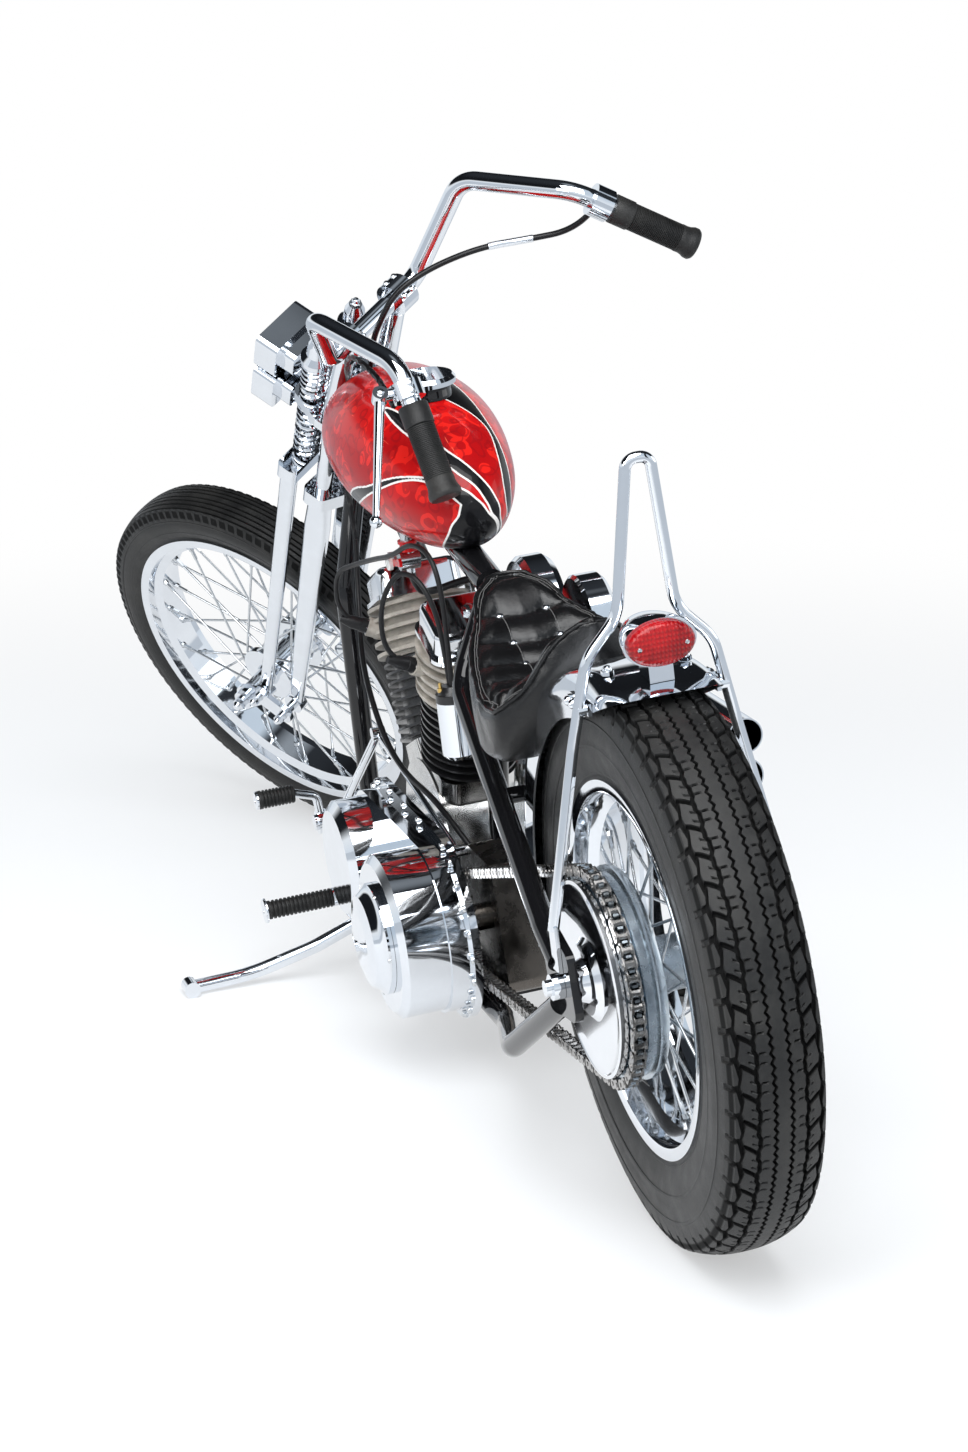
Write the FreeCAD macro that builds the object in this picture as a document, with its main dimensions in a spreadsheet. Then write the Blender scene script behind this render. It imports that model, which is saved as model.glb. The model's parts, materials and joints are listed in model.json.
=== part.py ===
"""A rigid-frame V-twin chopper with a springer fork, standing on its side stand.

Axes: +X forward, +Y the rider's left, +Z up.  Every piece is first made on an upright
motorcycle whose origin is on the ground under the rear axle, and is then leaned and
pitched until both tyres and the stand's foot touch z = 0.
Pieces of the front end are made in the fork's own axes (x forward, y left, z up along the
steering axis, origin at the front wheel's centre) and are turned with the handlebar.
"""
import FreeCAD, Part
import math
import os
import Sketcher

from FreeCAD import Placement, Rotation, Vector

doc = FreeCAD.newDocument("Chopper")

# ---------------------------------------------------------------------------------------
# Driving dimensions: alias, value (mm or degrees), what it sets
# ---------------------------------------------------------------------------------------
SIZES = (
    ("wheelbase", 1680.0, "rear axle to front axle"),
    ("rake", 43.0, "steering axis from the vertical"),
    ("trail", 170.0, "steering axis to front contact, on the ground"),
    ("steer_rest", 36.5, "handlebar turned left onto its stop"),
    ("lean", 7.0, "lean to the left on the side stand"),
    ("rear_tyre_radius", 330.0, "16 inch rear tyre"),
    ("rear_tyre_width", 120.0, ""),
    ("rear_rim_radius", 216.5, "lip of the rear rim"),
    ("rear_rim_width", 106.0, "over the lips"),
    ("front_tyre_radius", 316.0, "19 inch front tyre"),
    ("front_tyre_width", 80.0, ""),
    ("front_rim_radius", 255.5, "lip of the front rim"),
    ("front_rim_width", 74.0, "over the lips"),
    ("rim_wall", 3.0, "rolled steel of both rims"),
    ("fit_gap", 0.3, "gap between pieces that seat on each other"),
    ("spoke_radius", 1.8, ""),
    ("axle_radius", 9.5, "both axles"),
    ("chain_pitch", 15.875, "5/8 inch roller chain"),
    ("roller_radius", 5.08, ""),
    ("rear_teeth", 48.0, "divides the test turns of 30 degrees"),
    ("front_teeth", 24.0, ""),
    ("chain_links", 114.0, "sets the distance between the sprockets"),
    ("chain_line", 87.0, "chain centre, to the left of the middle"),
    ("drum_radius", 118.0, "brake drum outside"),
    ("drum_wall", 10.0, ""),
    ("plate_radius", 112.5, "rim of the brake backing plate"),
    ("frame_tube", 14.3, "radius of the rails and downtubes"),
    ("backbone_tube", 19.0, "radius of the backbone"),
    ("neck_radius", 27.0, ""),
    ("neck_bore", 17.5, ""),
    ("stem_radius", 14.0, ""),
    ("rail_height", 118.0, "centre of the lower rails above the ground"),
    ("cylinder_angle", 22.5, "each cylinder from the vertical"),
    ("fin_radius", 70.0, ""),
    ("bar_radius", 12.7, "one inch handlebar"),
    ("grip_radius", 17.0, ""),
    ("rod_radius", 6.5, "sissy bar rod"),
    ("pipe_radius", 21.0, "exhaust pipe outside"),
    ("pipe_wall", 1.6, ""),
    ("peg_radius", 13.0, "foot peg and toe peg rubbers"),
    ("fender_gap", 14.0, "tyre to fender"),
    ("fender_wall", 2.5, ""),
    ("fender_half", 72.0, "half of the fender's width"),
)
sheet = doc.addObject("Spreadsheet::Sheet", "Sizes")
for row, (alias, value, note) in enumerate(SIZES, start=1):
    sheet.set("A%d" % row, alias)
    sheet.set("B%d" % row, "%g" % value)
    sheet.setAlias("B%d" % row, alias)
    sheet.set("C%d" % row, note)
doc.recompute()


def size(alias):
    """A driving dimension, read from the sheet."""
    return float(getattr(sheet, alias))


X, Y, Z = Vector(1, 0, 0), Vector(0, 1, 0), Vector(0, 0, 1)
gap = size("fit_gap")
wheelbase = size("wheelbase")
rake = math.radians(size("rake"))
rear_axle = Vector(0, 0, size("rear_tyre_radius"))
front_axle = Vector(wheelbase, 0, size("front_tyre_radius"))
# Where the steering axis stands in the fork's axes: behind the wheel's centre.
stem_x = size("trail") * math.cos(rake) - size("front_tyre_radius") * math.sin(rake)
fork_place = Placement(front_axle, Rotation(Y, -size("rake")))


# ---------------------------------------------------------------------------------------
# Small tools that the pieces share
# ---------------------------------------------------------------------------------------
def rounded_wire(points, radii):
    """Straight runs through the points, joined by tangent arcs (one radius per inner point)."""
    points = [Vector(*p) for p in points]
    edges, last = [], points[0]
    for before, corner, after, radius in zip(points, points[1:], points[2:], radii):
        to_start = (before - corner).normalize()
        to_end = (after - corner).normalize()
        half = to_start.getAngle(to_end) / 2.0
        reach = radius / math.tan(half)
        start, end = corner + to_start * reach, corner + to_end * reach
        middle_way = (to_start + to_end).normalize()
        middle = corner + middle_way * (radius / math.sin(half) - radius)
        edges.append(Part.LineSegment(last, start).toShape())
        edges.append(Part.Arc(start, middle, end).toShape())
        last = end
    edges.append(Part.LineSegment(last, points[-1]).toShape())
    return Part.Wire(edges)


def tube(points, radii, radius, wall=0.0):
    """A round tube, or a rod where wall is 0, along rounded_wire(points, radii)."""
    path = rounded_wire(points, radii)
    start = path.Edges[0]
    way = start.tangentAt(start.FirstParameter)
    at = start.valueAt(start.FirstParameter)

    def sweep(r):
        section = Part.Wire([Part.Circle(at, way, r).toShape()])
        return path.makePipeShell([section], True, False)

    if wall:
        return sweep(radius).cut(sweep(radius - wall))
    return sweep(radius)


def cord(name, points, radius):
    """A cable whose bends take nearly half of the shorter run beside them."""
    points = [Vector(*p) for p in points]
    radii = []
    for before, corner, after in zip(points, points[1:], points[2:]):
        turn = (corner - before).getAngle(after - corner)
        shorter = min((corner - before).Length, (after - corner).Length)
        radii.append(0.45 * shorter / math.tan(turn / 2.0))
    print("bends of", name, [round(r, 1) for r in radii], "for a diameter of", 2 * radius)
    return tube(points, radii, radius)


def rod(start, end, radius, end_radius=None):
    """A straight round bar between two points, tapered where end_radius is given."""
    start, end = Vector(*start), Vector(*end)
    way = end - start
    if end_radius is None or abs(end_radius - radius) < 1e-6:
        return Part.makeCylinder(radius, way.Length, start, way)
    return Part.makeCone(radius, end_radius, way.Length, start, way)


def turned(profile, axis_point=(0, 0, 0), axis=Y):
    """A profile of (along, radius) corners turned a full circle about the axis."""
    centre = Vector(*axis_point)
    side = X if abs(axis.dot(X)) < 0.9 else Z
    side = (side - axis * side.dot(axis)).normalize()
    corners = [centre + axis * along + side * r for along, r in profile]
    face = Part.Face(Part.makePolygon(corners + corners[:1]))
    return face.revolve(centre, axis, 360)


def box(low, high):
    """A box between two corners."""
    low, high = Vector(*low), Vector(*high)
    return Part.makeBox(high.x - low.x, high.y - low.y, high.z - low.z, low)


def rounded_plate(corners, radius, thickness, place=None):
    """A flat plate of rounded outline: corners are (u, v), the thickness goes along +Z."""
    count = len(corners)
    points = [Vector(u, v, 0) for u, v in corners]
    edges, ends = [], []
    for i, corner in enumerate(points):
        back = (points[i - 1] - corner).normalize()
        ahead = (points[(i + 1) % count] - corner).normalize()
        half = back.getAngle(ahead) / 2.0
        reach = radius / math.tan(half)
        middle = corner + (back + ahead).normalize() * (radius / math.sin(half) - radius)
        ends.append((corner + back * reach, middle, corner + ahead * reach))
    for i, (start, middle, end) in enumerate(ends):
        edges.append(Part.Arc(start, middle, end).toShape())
        edges.append(Part.LineSegment(end, ends[(i + 1) % count][0]).toShape())
    plate = Part.Face(Part.Wire(edges)).extrude(Vector(0, 0, thickness))
    if place is not None:
        plate.Placement = place
    return plate


def belt(centres, thickness, y_low):
    """A plate across Y around circles (x, z, radius): their common belt outline."""
    discs = [Part.makeCylinder(r, thickness, Vector(x, y_low, z), Y) for x, z, r in centres]
    shape = discs[0]
    for (x1, z1, r1), (x2, z2, r2), disc in zip(centres, centres[1:], discs[1:]):
        way = Vector(x2 - x1, 0, z2 - z1)
        tilt = math.asin((r1 - r2) / way.Length)
        along = way.normalize()
        across = Vector(-along.z, 0, along.x)
        corners = []
        for sign in (1, -1):
            out = across * (sign * math.cos(tilt)) + along * math.sin(tilt)
            corners.append((Vector(x1, y_low, z1) + out * r1, Vector(x2, y_low, z2) + out * r2))
        loop = [corners[0][0], corners[0][1], corners[1][1], corners[1][0]]
        web = Part.Face(Part.makePolygon(loop + loop[:1])).extrude(Y * thickness)
        shape = shape.fuse([web, disc])
    return shape.removeSplitter()


def fused(shapes):
    """One solid from shapes that meet."""
    return shapes[0].multiFuse(list(shapes[1:])).removeSplitter() if len(shapes) > 1 else shapes[0]


def mirrored(shape):
    """The same piece on the other side of the middle."""
    return shape.mirror(Vector(0, 0, 0), Y)


def both_sides(shape):
    return Part.makeCompound([shape, mirrored(shape)])


pieces = {"frame": [], "fork": [], "front_wheel": [], "side_stand": []}


def add(name, shape, group="frame"):
    """A sub-part with its own Label, kept with the group that shares its placement."""
    piece = doc.addObject("Part::Feature", name)
    piece.Label = name
    piece.Shape = shape
    pieces[group].append(piece)
    return piece


def revolved(name, profile, bound, group="frame", at=(0, 0, 0), axis=Y):
    """A PartDesign body turned from one sketch of (along, radius) corners.

    bound ties corners to the sheet: {(corner, "along" or "radius"): expression}."""
    body = doc.addObject("PartDesign::Body", name)
    body.Label = name
    sketch = body.newObject("Sketcher::SketchObject", name + "_section")
    corners = [Vector(along, radius, 0) for along, radius in profile]
    for start, end in zip(corners, corners[1:] + corners[:1]):
        sketch.addGeometry(Part.LineSegment(start, end))
    for i in range(len(corners)):
        sketch.addConstraint(Sketcher.Constraint("Coincident", i, 2, (i + 1) % len(corners), 1))
    for i, corner in enumerate(corners):
        for kind, way, value, line in (("along", "DistanceX", corner.x, -2),
                                       ("radius", "DistanceY", corner.y, -1)):
            if abs(value) < 1e-9:
                sketch.addConstraint(Sketcher.Constraint("PointOnObject", i, 1, line))
                continue
            at_row = sketch.addConstraint(Sketcher.Constraint(way, -1, 1, i, 1, value))
            if (i, kind) in bound:
                sketch.renameConstraint(at_row, "%s_%d" % (kind, i))
                sketch.setExpression("Constraints.%s_%d" % (kind, i), bound[i, kind])
    turn = body.newObject("PartDesign::Revolution", name + "_turn")
    turn.Profile = sketch
    turn.ReferenceAxis = (sketch, ["H_Axis"])
    turn.Angle = 360
    sketch.Visibility = False
    body.Placement = Placement(Vector(*at), Rotation(X, axis))
    doc.recompute()
    pieces[group].append(body)
    return body


# ---------------------------------------------------------------------------------------
# Wheels, made about Y with their centre at the origin
# ---------------------------------------------------------------------------------------
def tyre_profile(radius, width, rim_radius, rim_width):
    """Corners (along, radius) of the tyre's outer face, from one bead to the other."""
    seat = rim_radius - 11.0
    half = width / 2.0
    bead = rim_width / 2.0 - size("rim_wall") - gap
    height = radius - seat
    crown = [(t / 10.0, 1.0 - 0.13 * (abs(t) / 10.0) ** 2.3) for t in range(-8, 9, 2)]
    rows = [(-bead, seat + gap), (-bead, seat + 12.0), (-half * 0.97, seat + height * 0.38)]
    rows += [(-half, seat + height * 0.56), (-half * 0.93, seat + height * 0.78)]
    rows += [(t * half, seat + height * up) for t, up in crown]
    rows += [(half * 0.93, seat + height * 0.78), (half, seat + height * 0.56)]
    rows += [(half * 0.97, seat + height * 0.38), (bead, seat + 12.0), (bead, seat + gap)]
    return rows


def rim_profile(radius, width):
    """Corners of a rolled drop-centre rim in one loop: tyre side, then hub side."""
    wall, half, seat = size("rim_wall"), width / 2.0, radius - 11.0
    outer = [(-half + wall, radius), (-half + wall, seat), (-half * 0.6, seat - 2), (-half * 0.42, seat - 14)]
    inner = [(-half * 0.42 - wall * 0.8, seat - 14 - wall), (-half * 0.6 - wall * 0.8, seat - 2 - wall),
             (-half + wall * 0.4, seat - wall), (-half, seat), (-half, radius)]
    loop = outer + [(-y, r) for y, r in reversed(outer)]
    hub_side = [(-y, r) for y, r in reversed(inner)]
    return loop + hub_side + list(inner)


def spokes(count, hub_radius, hub_y, rim_radius, rim_y, crossing):
    """Laced spokes: each flange carries half of them, leaning forward and back in turn."""
    wires = []
    half = count // 2
    for side in (1, -1):
        for i in range(half):
            base = 360.0 * i / half + (180.0 / half if side < 0 else 0.0)
            lean = crossing if i % 2 else -crossing
            low, high = math.radians(base + lean), math.radians(base)
            shift = 3.0 if i % 2 else -3.0
            start = Vector(hub_radius * math.sin(low), side * (hub_y + shift), hub_radius * math.cos(low))
            end = Vector(rim_radius * math.sin(high), side * (rim_y + shift), rim_radius * math.cos(high))
            wires.append(rod(start, end, size("spoke_radius")))
    return Part.makeCompound(wires)


rear_tyre_rows = tyre_profile(size("rear_tyre_radius"), size("rear_tyre_width"),
                              size("rear_rim_radius"), size("rear_rim_width"))
front_tyre_rows = tyre_profile(size("front_tyre_radius"), size("front_tyre_width"),
                               size("front_rim_radius"), size("front_rim_width"))


def at_rear(shape):
    shape.translate(rear_axle)
    return shape


for end in ("rear", "front"):
    rows = rear_tyre_rows if end == "rear" else front_tyre_rows
    top = max(range(len(rows)), key=lambda i: rows[i][1])
    group, at = ("frame", rear_axle) if end == "rear" else ("front_wheel", Vector(0, 0, 0))
    revolved(end + "_tyre", rows, {(top, "radius"): "Sizes.%s_tyre_radius" % end,
                                   (3, "along"): "-Sizes.%s_tyre_width / 2" % end,
                                   (len(rows) - 4, "along"): "Sizes.%s_tyre_width / 2" % end}, group, at)
    loop = rim_profile(size(end + "_rim_radius"), size(end + "_rim_width"))
    lip = {(i, "radius"): "Sizes.%s_rim_radius" % end for i in (0, 7, 8, len(loop) - 1)}
    lip[8, "along"] = "Sizes.%s_rim_width / 2" % end
    lip[len(loop) - 1, "along"] = "-Sizes.%s_rim_width / 2" % end
    revolved(end + "_rim", loop, lip, group, at)

# Hubs: a turned barrel with two flanges.
axle_bore = size("axle_radius") + gap
front_flange = 46.0
hub_rows = [(-50, axle_bore), (-50, 17), (-42, 19), (-42, front_flange), (-32, front_flange),
            (-32, 30), (-24, 24), (24, 24), (32, 30), (32, front_flange), (42, front_flange),
            (42, 19), (50, 17), (50, axle_bore)]
revolved("front_hub", hub_rows, {(0, "radius"): "Sizes.axle_radius + Sizes.fit_gap",
                                 (len(hub_rows) - 1, "radius"): "Sizes.axle_radius + Sizes.fit_gap"}, "front_wheel")
add("front_spokes", spokes(40, front_flange + 1.2, 37.0, size("front_rim_radius") - 28.8, 10.0, 50.0),
    "front_wheel")

# ---------------------------------------------------------------------------------------
# Roller chain: the sprockets' distance follows from the number of links
# ---------------------------------------------------------------------------------------
pitch = size("chain_pitch")
rear_pitch_radius = pitch / (2 * math.sin(math.pi / size("rear_teeth")))
front_pitch_radius = pitch / (2 * math.sin(math.pi / size("front_teeth")))
chain_fall = 11.3          # degrees that the gearbox shaft lies below the rear axle's level


def chain_length(distance):
    """The closed chain's length in links for a distance between the shafts."""
    tilt = math.asin((rear_pitch_radius - front_pitch_radius) / distance)
    rear = size("rear_teeth") * (math.pi + 2 * tilt) / (2 * math.pi)
    front = size("front_teeth") * (math.pi - 2 * tilt) / (2 * math.pi)
    return rear + front + 2 * distance * math.cos(tilt) / pitch


low, high = 300.0, 1200.0
for _ in range(60):
    centre_distance = (low + high) / 2
    if chain_length(centre_distance) < size("chain_links"):
        low = centre_distance
    else:
        high = centre_distance
fall = math.radians(chain_fall)
gearbox = rear_axle + Vector(centre_distance * math.cos(fall), 0, -centre_distance * math.sin(fall))


def chain_pins():
    """Pin centres (x, z) once round the loop, and the angle of the first on each sprocket."""
    way = (gearbox - rear_axle).normalize()
    level = math.atan2(way.z, way.x)
    tilt = math.asin((rear_pitch_radius - front_pitch_radius) / centre_distance)
    straight = centre_distance * math.cos(tilt) / pitch
    top, bottom = level + math.pi / 2 - tilt, level - math.pi / 2 + tilt
    rear_step, front_step = 2 * math.pi / size("rear_teeth"), 2 * math.pi / size("front_teeth")
    rear_wrap = (2 * math.pi - (top - bottom)) / rear_step
    front_wrap = (top - bottom) / front_step
    pins, first = [], {}
    for i in range(int(size("chain_links"))):
        s = float(i)
        if s < rear_wrap:                       # round the rear sprocket, from the top backwards
            angle = top + s * rear_step
            first.setdefault("rear", angle)
            pins.append((rear_axle.x + rear_pitch_radius * math.cos(angle),
                         rear_axle.z + rear_pitch_radius * math.sin(angle)))
        elif s < rear_wrap + straight:          # forward along the lower run
            t = (s - rear_wrap) / straight
            a = rear_axle + Vector(math.cos(bottom), 0, math.sin(bottom)) * rear_pitch_radius
            b = gearbox + Vector(math.cos(bottom), 0, math.sin(bottom)) * front_pitch_radius
            pins.append(((a + (b - a) * t).x, (a + (b - a) * t).z))
        elif s < rear_wrap + straight + front_wrap:
            angle = bottom + (s - rear_wrap - straight) * front_step
            first.setdefault("front", angle)
            pins.append((gearbox.x + front_pitch_radius * math.cos(angle),
                         gearbox.z + front_pitch_radius * math.sin(angle)))
        else:                                   # back along the upper run
            t = (s - rear_wrap - straight - front_wrap) / straight
            a = gearbox + Vector(math.cos(top), 0, math.sin(top)) * front_pitch_radius
            b = rear_axle + Vector(math.cos(top), 0, math.sin(top)) * rear_pitch_radius
            pins.append(((a + (b - a) * t).x, (a + (b - a) * t).z))
    return pins, first


pins, first_pin = chain_pins()


def sprocket(teeth, pitch_radius, first_angle, thickness, bore):
    """A toothed ring: round roots that fit the rollers, straight flanks and flat tips."""
    root = size("roller_radius") + gap
    step = 2 * math.pi / teeth
    tip_radius = pitch_radius + 0.36 * pitch
    edges, last = [], None
    first_point = None
    for i in range(int(teeth)):
        a = first_angle + i * step
        out = Vector(math.cos(a), 0, math.sin(a))
        side = Vector(-math.sin(a), 0, math.cos(a))
        seat = out * pitch_radius
        rise = tip_radius - pitch_radius
        flank = root + 0.28 * rise
        entry = out * (pitch_radius + rise * 0.98) - side * flank
        leave = out * (pitch_radius + rise * 0.98) + side * flank
        if last is None:
            first_point = entry
        else:
            edges.append(Part.LineSegment(last, entry).toShape())
        edges.append(Part.LineSegment(entry, seat - side * root).toShape())
        edges.append(Part.Arc(seat - side * root, seat - out * root, seat + side * root).toShape())
        edges.append(Part.LineSegment(seat + side * root, leave).toShape())
        last = leave
    edges.append(Part.LineSegment(last, first_point).toShape())
    blank = Part.Face(Part.Wire(edges)).extrude(Y * thickness)
    return blank.cut(Part.makeCylinder(bore, thickness + 2, Vector(0, -1, 0), Y))


chain_line = size("chain_line")
sprocket_wide = 6.0
drum_out, drum_in = size("drum_radius"), size("drum_radius") - size("drum_wall")
rear_flange = 44.0
ring = sprocket(size("rear_teeth"), rear_pitch_radius, first_pin["rear"], sprocket_wide, drum_in)
ring.translate(Vector(0, chain_line - sprocket_wide / 2, 0))
drum_lip = chain_line + sprocket_wide / 2
under_chain = rear_pitch_radius - 0.4 * pitch - 1.5     # the drum's shoulder clears the chain's plates
rear_hub = turned([(-58, axle_bore), (-58, 20), (-47, 24), (-47, rear_flange), (-37, rear_flange), (-37, 32),
                   (32, 32), (37, rear_flange), (44, rear_flange), (44, 100), (50, drum_out),
                   (56, drum_out + 4), (62, drum_out + 4), (64, drum_out - 1), (74, drum_out - 1),
                   (76, under_chain), (drum_lip, under_chain),
                   (drum_lip, drum_in), (50, drum_in), (50, 30), (74, 22), (74, axle_bore)])
add("rear_hub", at_rear(rear_hub.fuse(ring).removeSplitter()))
add("rear_spokes", at_rear(spokes(40, rear_flange + 1.2, 39.5, size("rear_rim_radius") - 29.0, 12.0, 50.0)))


def chain_band(y_low, y_high):
    """One row of side plates as an unbroken band round both sprockets."""
    half = 0.4 * pitch
    outer = belt([(rear_axle.x, rear_axle.z, rear_pitch_radius + half),
                  (gearbox.x, gearbox.z, front_pitch_radius + half)], y_high - y_low, y_low)
    inner = belt([(rear_axle.x, rear_axle.z, rear_pitch_radius - half),
                  (gearbox.x, gearbox.z, front_pitch_radius - half)], y_high - y_low, y_low)
    return outer.cut(inner)


plate_in, plate_out = 4.6, 8.2
rollers = [Part.makeCylinder(size("roller_radius"), 2 * plate_in + 0.4,
                             Vector(x, chain_line - plate_in - 0.2, z), Y) for x, z in pins]
chain = fused([chain_band(chain_line - plate_out, chain_line - plate_in)] + rollers
              + [chain_band(chain_line + plate_in, chain_line + plate_out)])
add("drive_chain", chain)
front_ring = sprocket(size("front_teeth"), front_pitch_radius, first_pin["front"], sprocket_wide, 18.0)
front_ring.translate(gearbox + Vector(0, chain_line - sprocket_wide / 2, 0))
add("gearbox_sprocket", front_ring)

# Rear brake backing plate, fixed to the frame by its anchor.
plate_face = drum_lip + 6.0
plate_r = size("plate_radius")
brake_rows = [(plate_face, axle_bore), (plate_face, plate_r), (plate_face + 8, plate_r),
              (plate_face + 9, plate_r - 4),
              (plate_face + 6, plate_r - 10), (plate_face + 5, 48), (plate_face + 12, 40),
              (plate_face + 12, 26), (plate_face + 22, 22), (plate_face + 22, axle_bore)]
revolved("brake_plate", brake_rows, {(1, "radius"): "Sizes.plate_radius", (2, "radius"): "Sizes.plate_radius",
                                     (3, "radius"): "Sizes.plate_radius - 4"}, at=rear_axle)

# ---------------------------------------------------------------------------------------
# Frame: neck, backbone, downtubes running on as the lower rails, seat post, upper stays
# ---------------------------------------------------------------------------------------
tube_r = size("frame_tube")
rail_z = size("rail_height")
neck_low, neck_high = 571.0, 705.0      # along the steering axis, from the wheel's centre


def on_stem(along):
    """A point of the steering axis."""
    return fork_place.multVec(Vector(stem_x, 0, along))


plate_in_y, plate_out_y = 124.0, 134.0
plate_mid_y = (plate_in_y + plate_out_y) / 2
post_foot = Vector(700, 0, rail_z)
post_top = Vector(600, 0, 640)


def rail_y(x):
    """How far out the lower rail's middle line runs beside the engine."""
    return 62.0 + (1165.0 - x) * 20.0 / 565.0


neck_shell = rod(on_stem(neck_low), on_stem(neck_high), size("neck_radius"))
backbone = tube([on_stem(650), (940, 0, 705), post_top], [300], size("backbone_tube"))
downtube_way = [on_stem(612) + Vector(-8, 10, 0), (1160, 60, 521), (1165, 62, rail_z), (600, 82, rail_z),
                (460, 82, rail_z), (215, 143, rail_z + 66), (25, plate_mid_y, rear_axle.z - 30)]
downtube_bends = [110, 90, 400, 200, 90]
downtube = tube(downtube_way, downtube_bends, tube_r)
downtube_room = tube(downtube_way, downtube_bends, tube_r + gap)
stay_top, stay_low = Vector(590, 58, 518), Vector(70, plate_mid_y - 2, 376)
stay = tube([post_top + Vector(12, 6, -25), stay_top, stay_low, (15, plate_mid_y, rear_axle.z + 22)],
            [60, 60], tube_r)
post = tube([post_top, (700, 0, 300), post_foot], [150], tube_r)
fender_r = size("rear_tyre_radius") + size("fender_gap") + size("fender_wall")
half = size("fender_half")
bridge_r = 10.0
share = 0.0                 # how far down the stays their bridge seats on the fender


def stay_at(share):
    """A point of the left stay's middle line."""
    return stay_top + (stay_low - stay_top) * share


def from_axle(point):
    """Distance from the rear axle, seen from the side."""
    return math.hypot(point.x - rear_axle.x, point.z - rear_axle.z)


while from_axle(stay_at(share)) > fender_r + gap + bridge_r:
    share += 0.0005
bridge_end = stay_at(share)
bridge = rod(bridge_end, Vector(bridge_end.x, -bridge_end.y, bridge_end.z), bridge_r)
dropout = rounded_plate([(-42, -34), (48, -44), (62, 20), (30, 62), (-30, 42)], 14, plate_out_y - plate_in_y)
dropout.Placement = Placement(rear_axle + Vector(0, plate_out_y, 0), Rotation(X, 90))
cross_low = rod((post_foot.x, -82, rail_z), (post_foot.x, 82, rail_z), tube_r * 0.8)
engine_seat = fused([box((1035, -66, rail_z + 4), (1075, 66, rail_z + 10)),
                     box((718, -78, rail_z + 4), (762, 78, rail_z + 10)),
                     box((712, -11, rail_z + 4), (720, 11, rail_z + 10))])
gearbox_seat = box((548, -76, rail_z - 2), (672, 76, rail_z + 10))
neck_hole = rod(on_stem(neck_low - 5), on_stem(neck_high + 5), size("neck_bore"))
axle_hole = rod(rear_axle - Y * 200, rear_axle + Y * 200, axle_bore)
frame = fused([neck_shell, backbone, post, cross_low, engine_seat, gearbox_seat, downtube,
               mirrored(downtube), stay,
               mirrored(stay), bridge, dropout, mirrored(dropout)])
frame = frame.cut(neck_hole).cut(axle_hole)

# Rear axle with its nuts outside the dropouts.
axle_r = size("axle_radius")
nut_y = plate_out_y + gap
axle = fused([rod(rear_axle - Y * (nut_y + 16), rear_axle + Y * (nut_y + 20), axle_r),
              rod(rear_axle + Y * nut_y, rear_axle + Y * (nut_y + 13), 15),
              rod(rear_axle - Y * nut_y, rear_axle - Y * (nut_y + 13), 15)])
add("rear_axle", axle)

# ---------------------------------------------------------------------------------------
# Bodywork: tank, seat, rear fender, sissy bar, tail light
# ---------------------------------------------------------------------------------------
def oval(x, half_width, half_height, z):
    """An upright oval section across X."""
    big, small = max(half_width, half_height), min(half_width, half_height)
    curve = Part.Ellipse(Vector(0, 0, 0), big, small)
    turn = Rotation(Vector(0, 1, 0), Vector(0, 0, 1), Vector(1, 0, 0), "ZXY")
    if half_width < half_height:
        turn = turn.multiply(Rotation(Z, 90))
    wire = Part.Wire([curve.toShape()])
    wire.Placement = Placement(Vector(x, 0, z), turn)
    return wire


TANK = ((1096, 34, 30, 786), (1076, 64, 56, 782), (1020, 94, 82, 774), (940, 107, 97, 766),
        (855, 106, 101, 759), (775, 90, 90, 753), (708, 62, 61, 750), (672, 31, 29, 750))
tank = Part.makeLoft([oval(*row) for row in TANK], True, False)
nose_gap = 48.0             # the tank ends this far behind the steering axis, clear of the turning fork
tunnel_r = size("backbone_tube") + gap
tunnel = tube([on_stem(650), (940, 0, 705), post_top], [300], tunnel_r)
under = box((640, -tunnel_r, 600), (1140, tunnel_r, 704))
front_room = box((-1500, -200, -400), (stem_x - nose_gap, 200, 1400))
front_room.Placement = fork_place
tank = tank.cut(tunnel).cut(under).common(front_room)
add("fuel_tank", tank)

cap_place = Placement(Vector(800, 0, 850), Rotation(Y, -5))
cap = turned([(0, 0), (0, 30), (14, 30), (14, 38), (20, 38), (25, 34), (25, 0)], axis=Z)
cap.Placement = cap_place
cap = cap.cut(tank)
add("filler_cap", cap)

shoulder = 28.0             # radius of the fender's rounded shoulders
edge_low, edge_high = 290.0, fender_r - 1.6 - shoulder


def fender_block(grow, low, start, sweep):
    """The space under the fender's outer face, grown outward, turned about the rear axle; 0 degrees is up."""
    out, turn_y, around = half + grow, half - shoulder, shoulder + grow
    corner = around * math.sqrt(0.5)
    left = [Vector(0, -out, low), Vector(0, -out, edge_high), Vector(0, -turn_y - corner, edge_high + corner),
            Vector(0, -turn_y, edge_high + around)]
    right = [Vector(0, -p.y, p.z) for p in reversed(left)]
    edges = [Part.LineSegment(left[0], left[1]), Part.Arc(left[1], left[2], left[3]),
             Part.Arc(left[3], Vector(0, 0, fender_r + grow), right[0]),
             Part.Arc(right[0], right[1], right[2]),
             Part.LineSegment(right[2], right[3]), Part.LineSegment(right[3], left[0])]
    face = Part.Face(Part.Wire([edge.toShape() for edge in edges]))
    face.rotate(Vector(0, 0, 0), Y, start)
    block = face.revolve(Vector(0, 0, 0), Y, sweep)
    block.translate(rear_axle)
    return block


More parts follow.
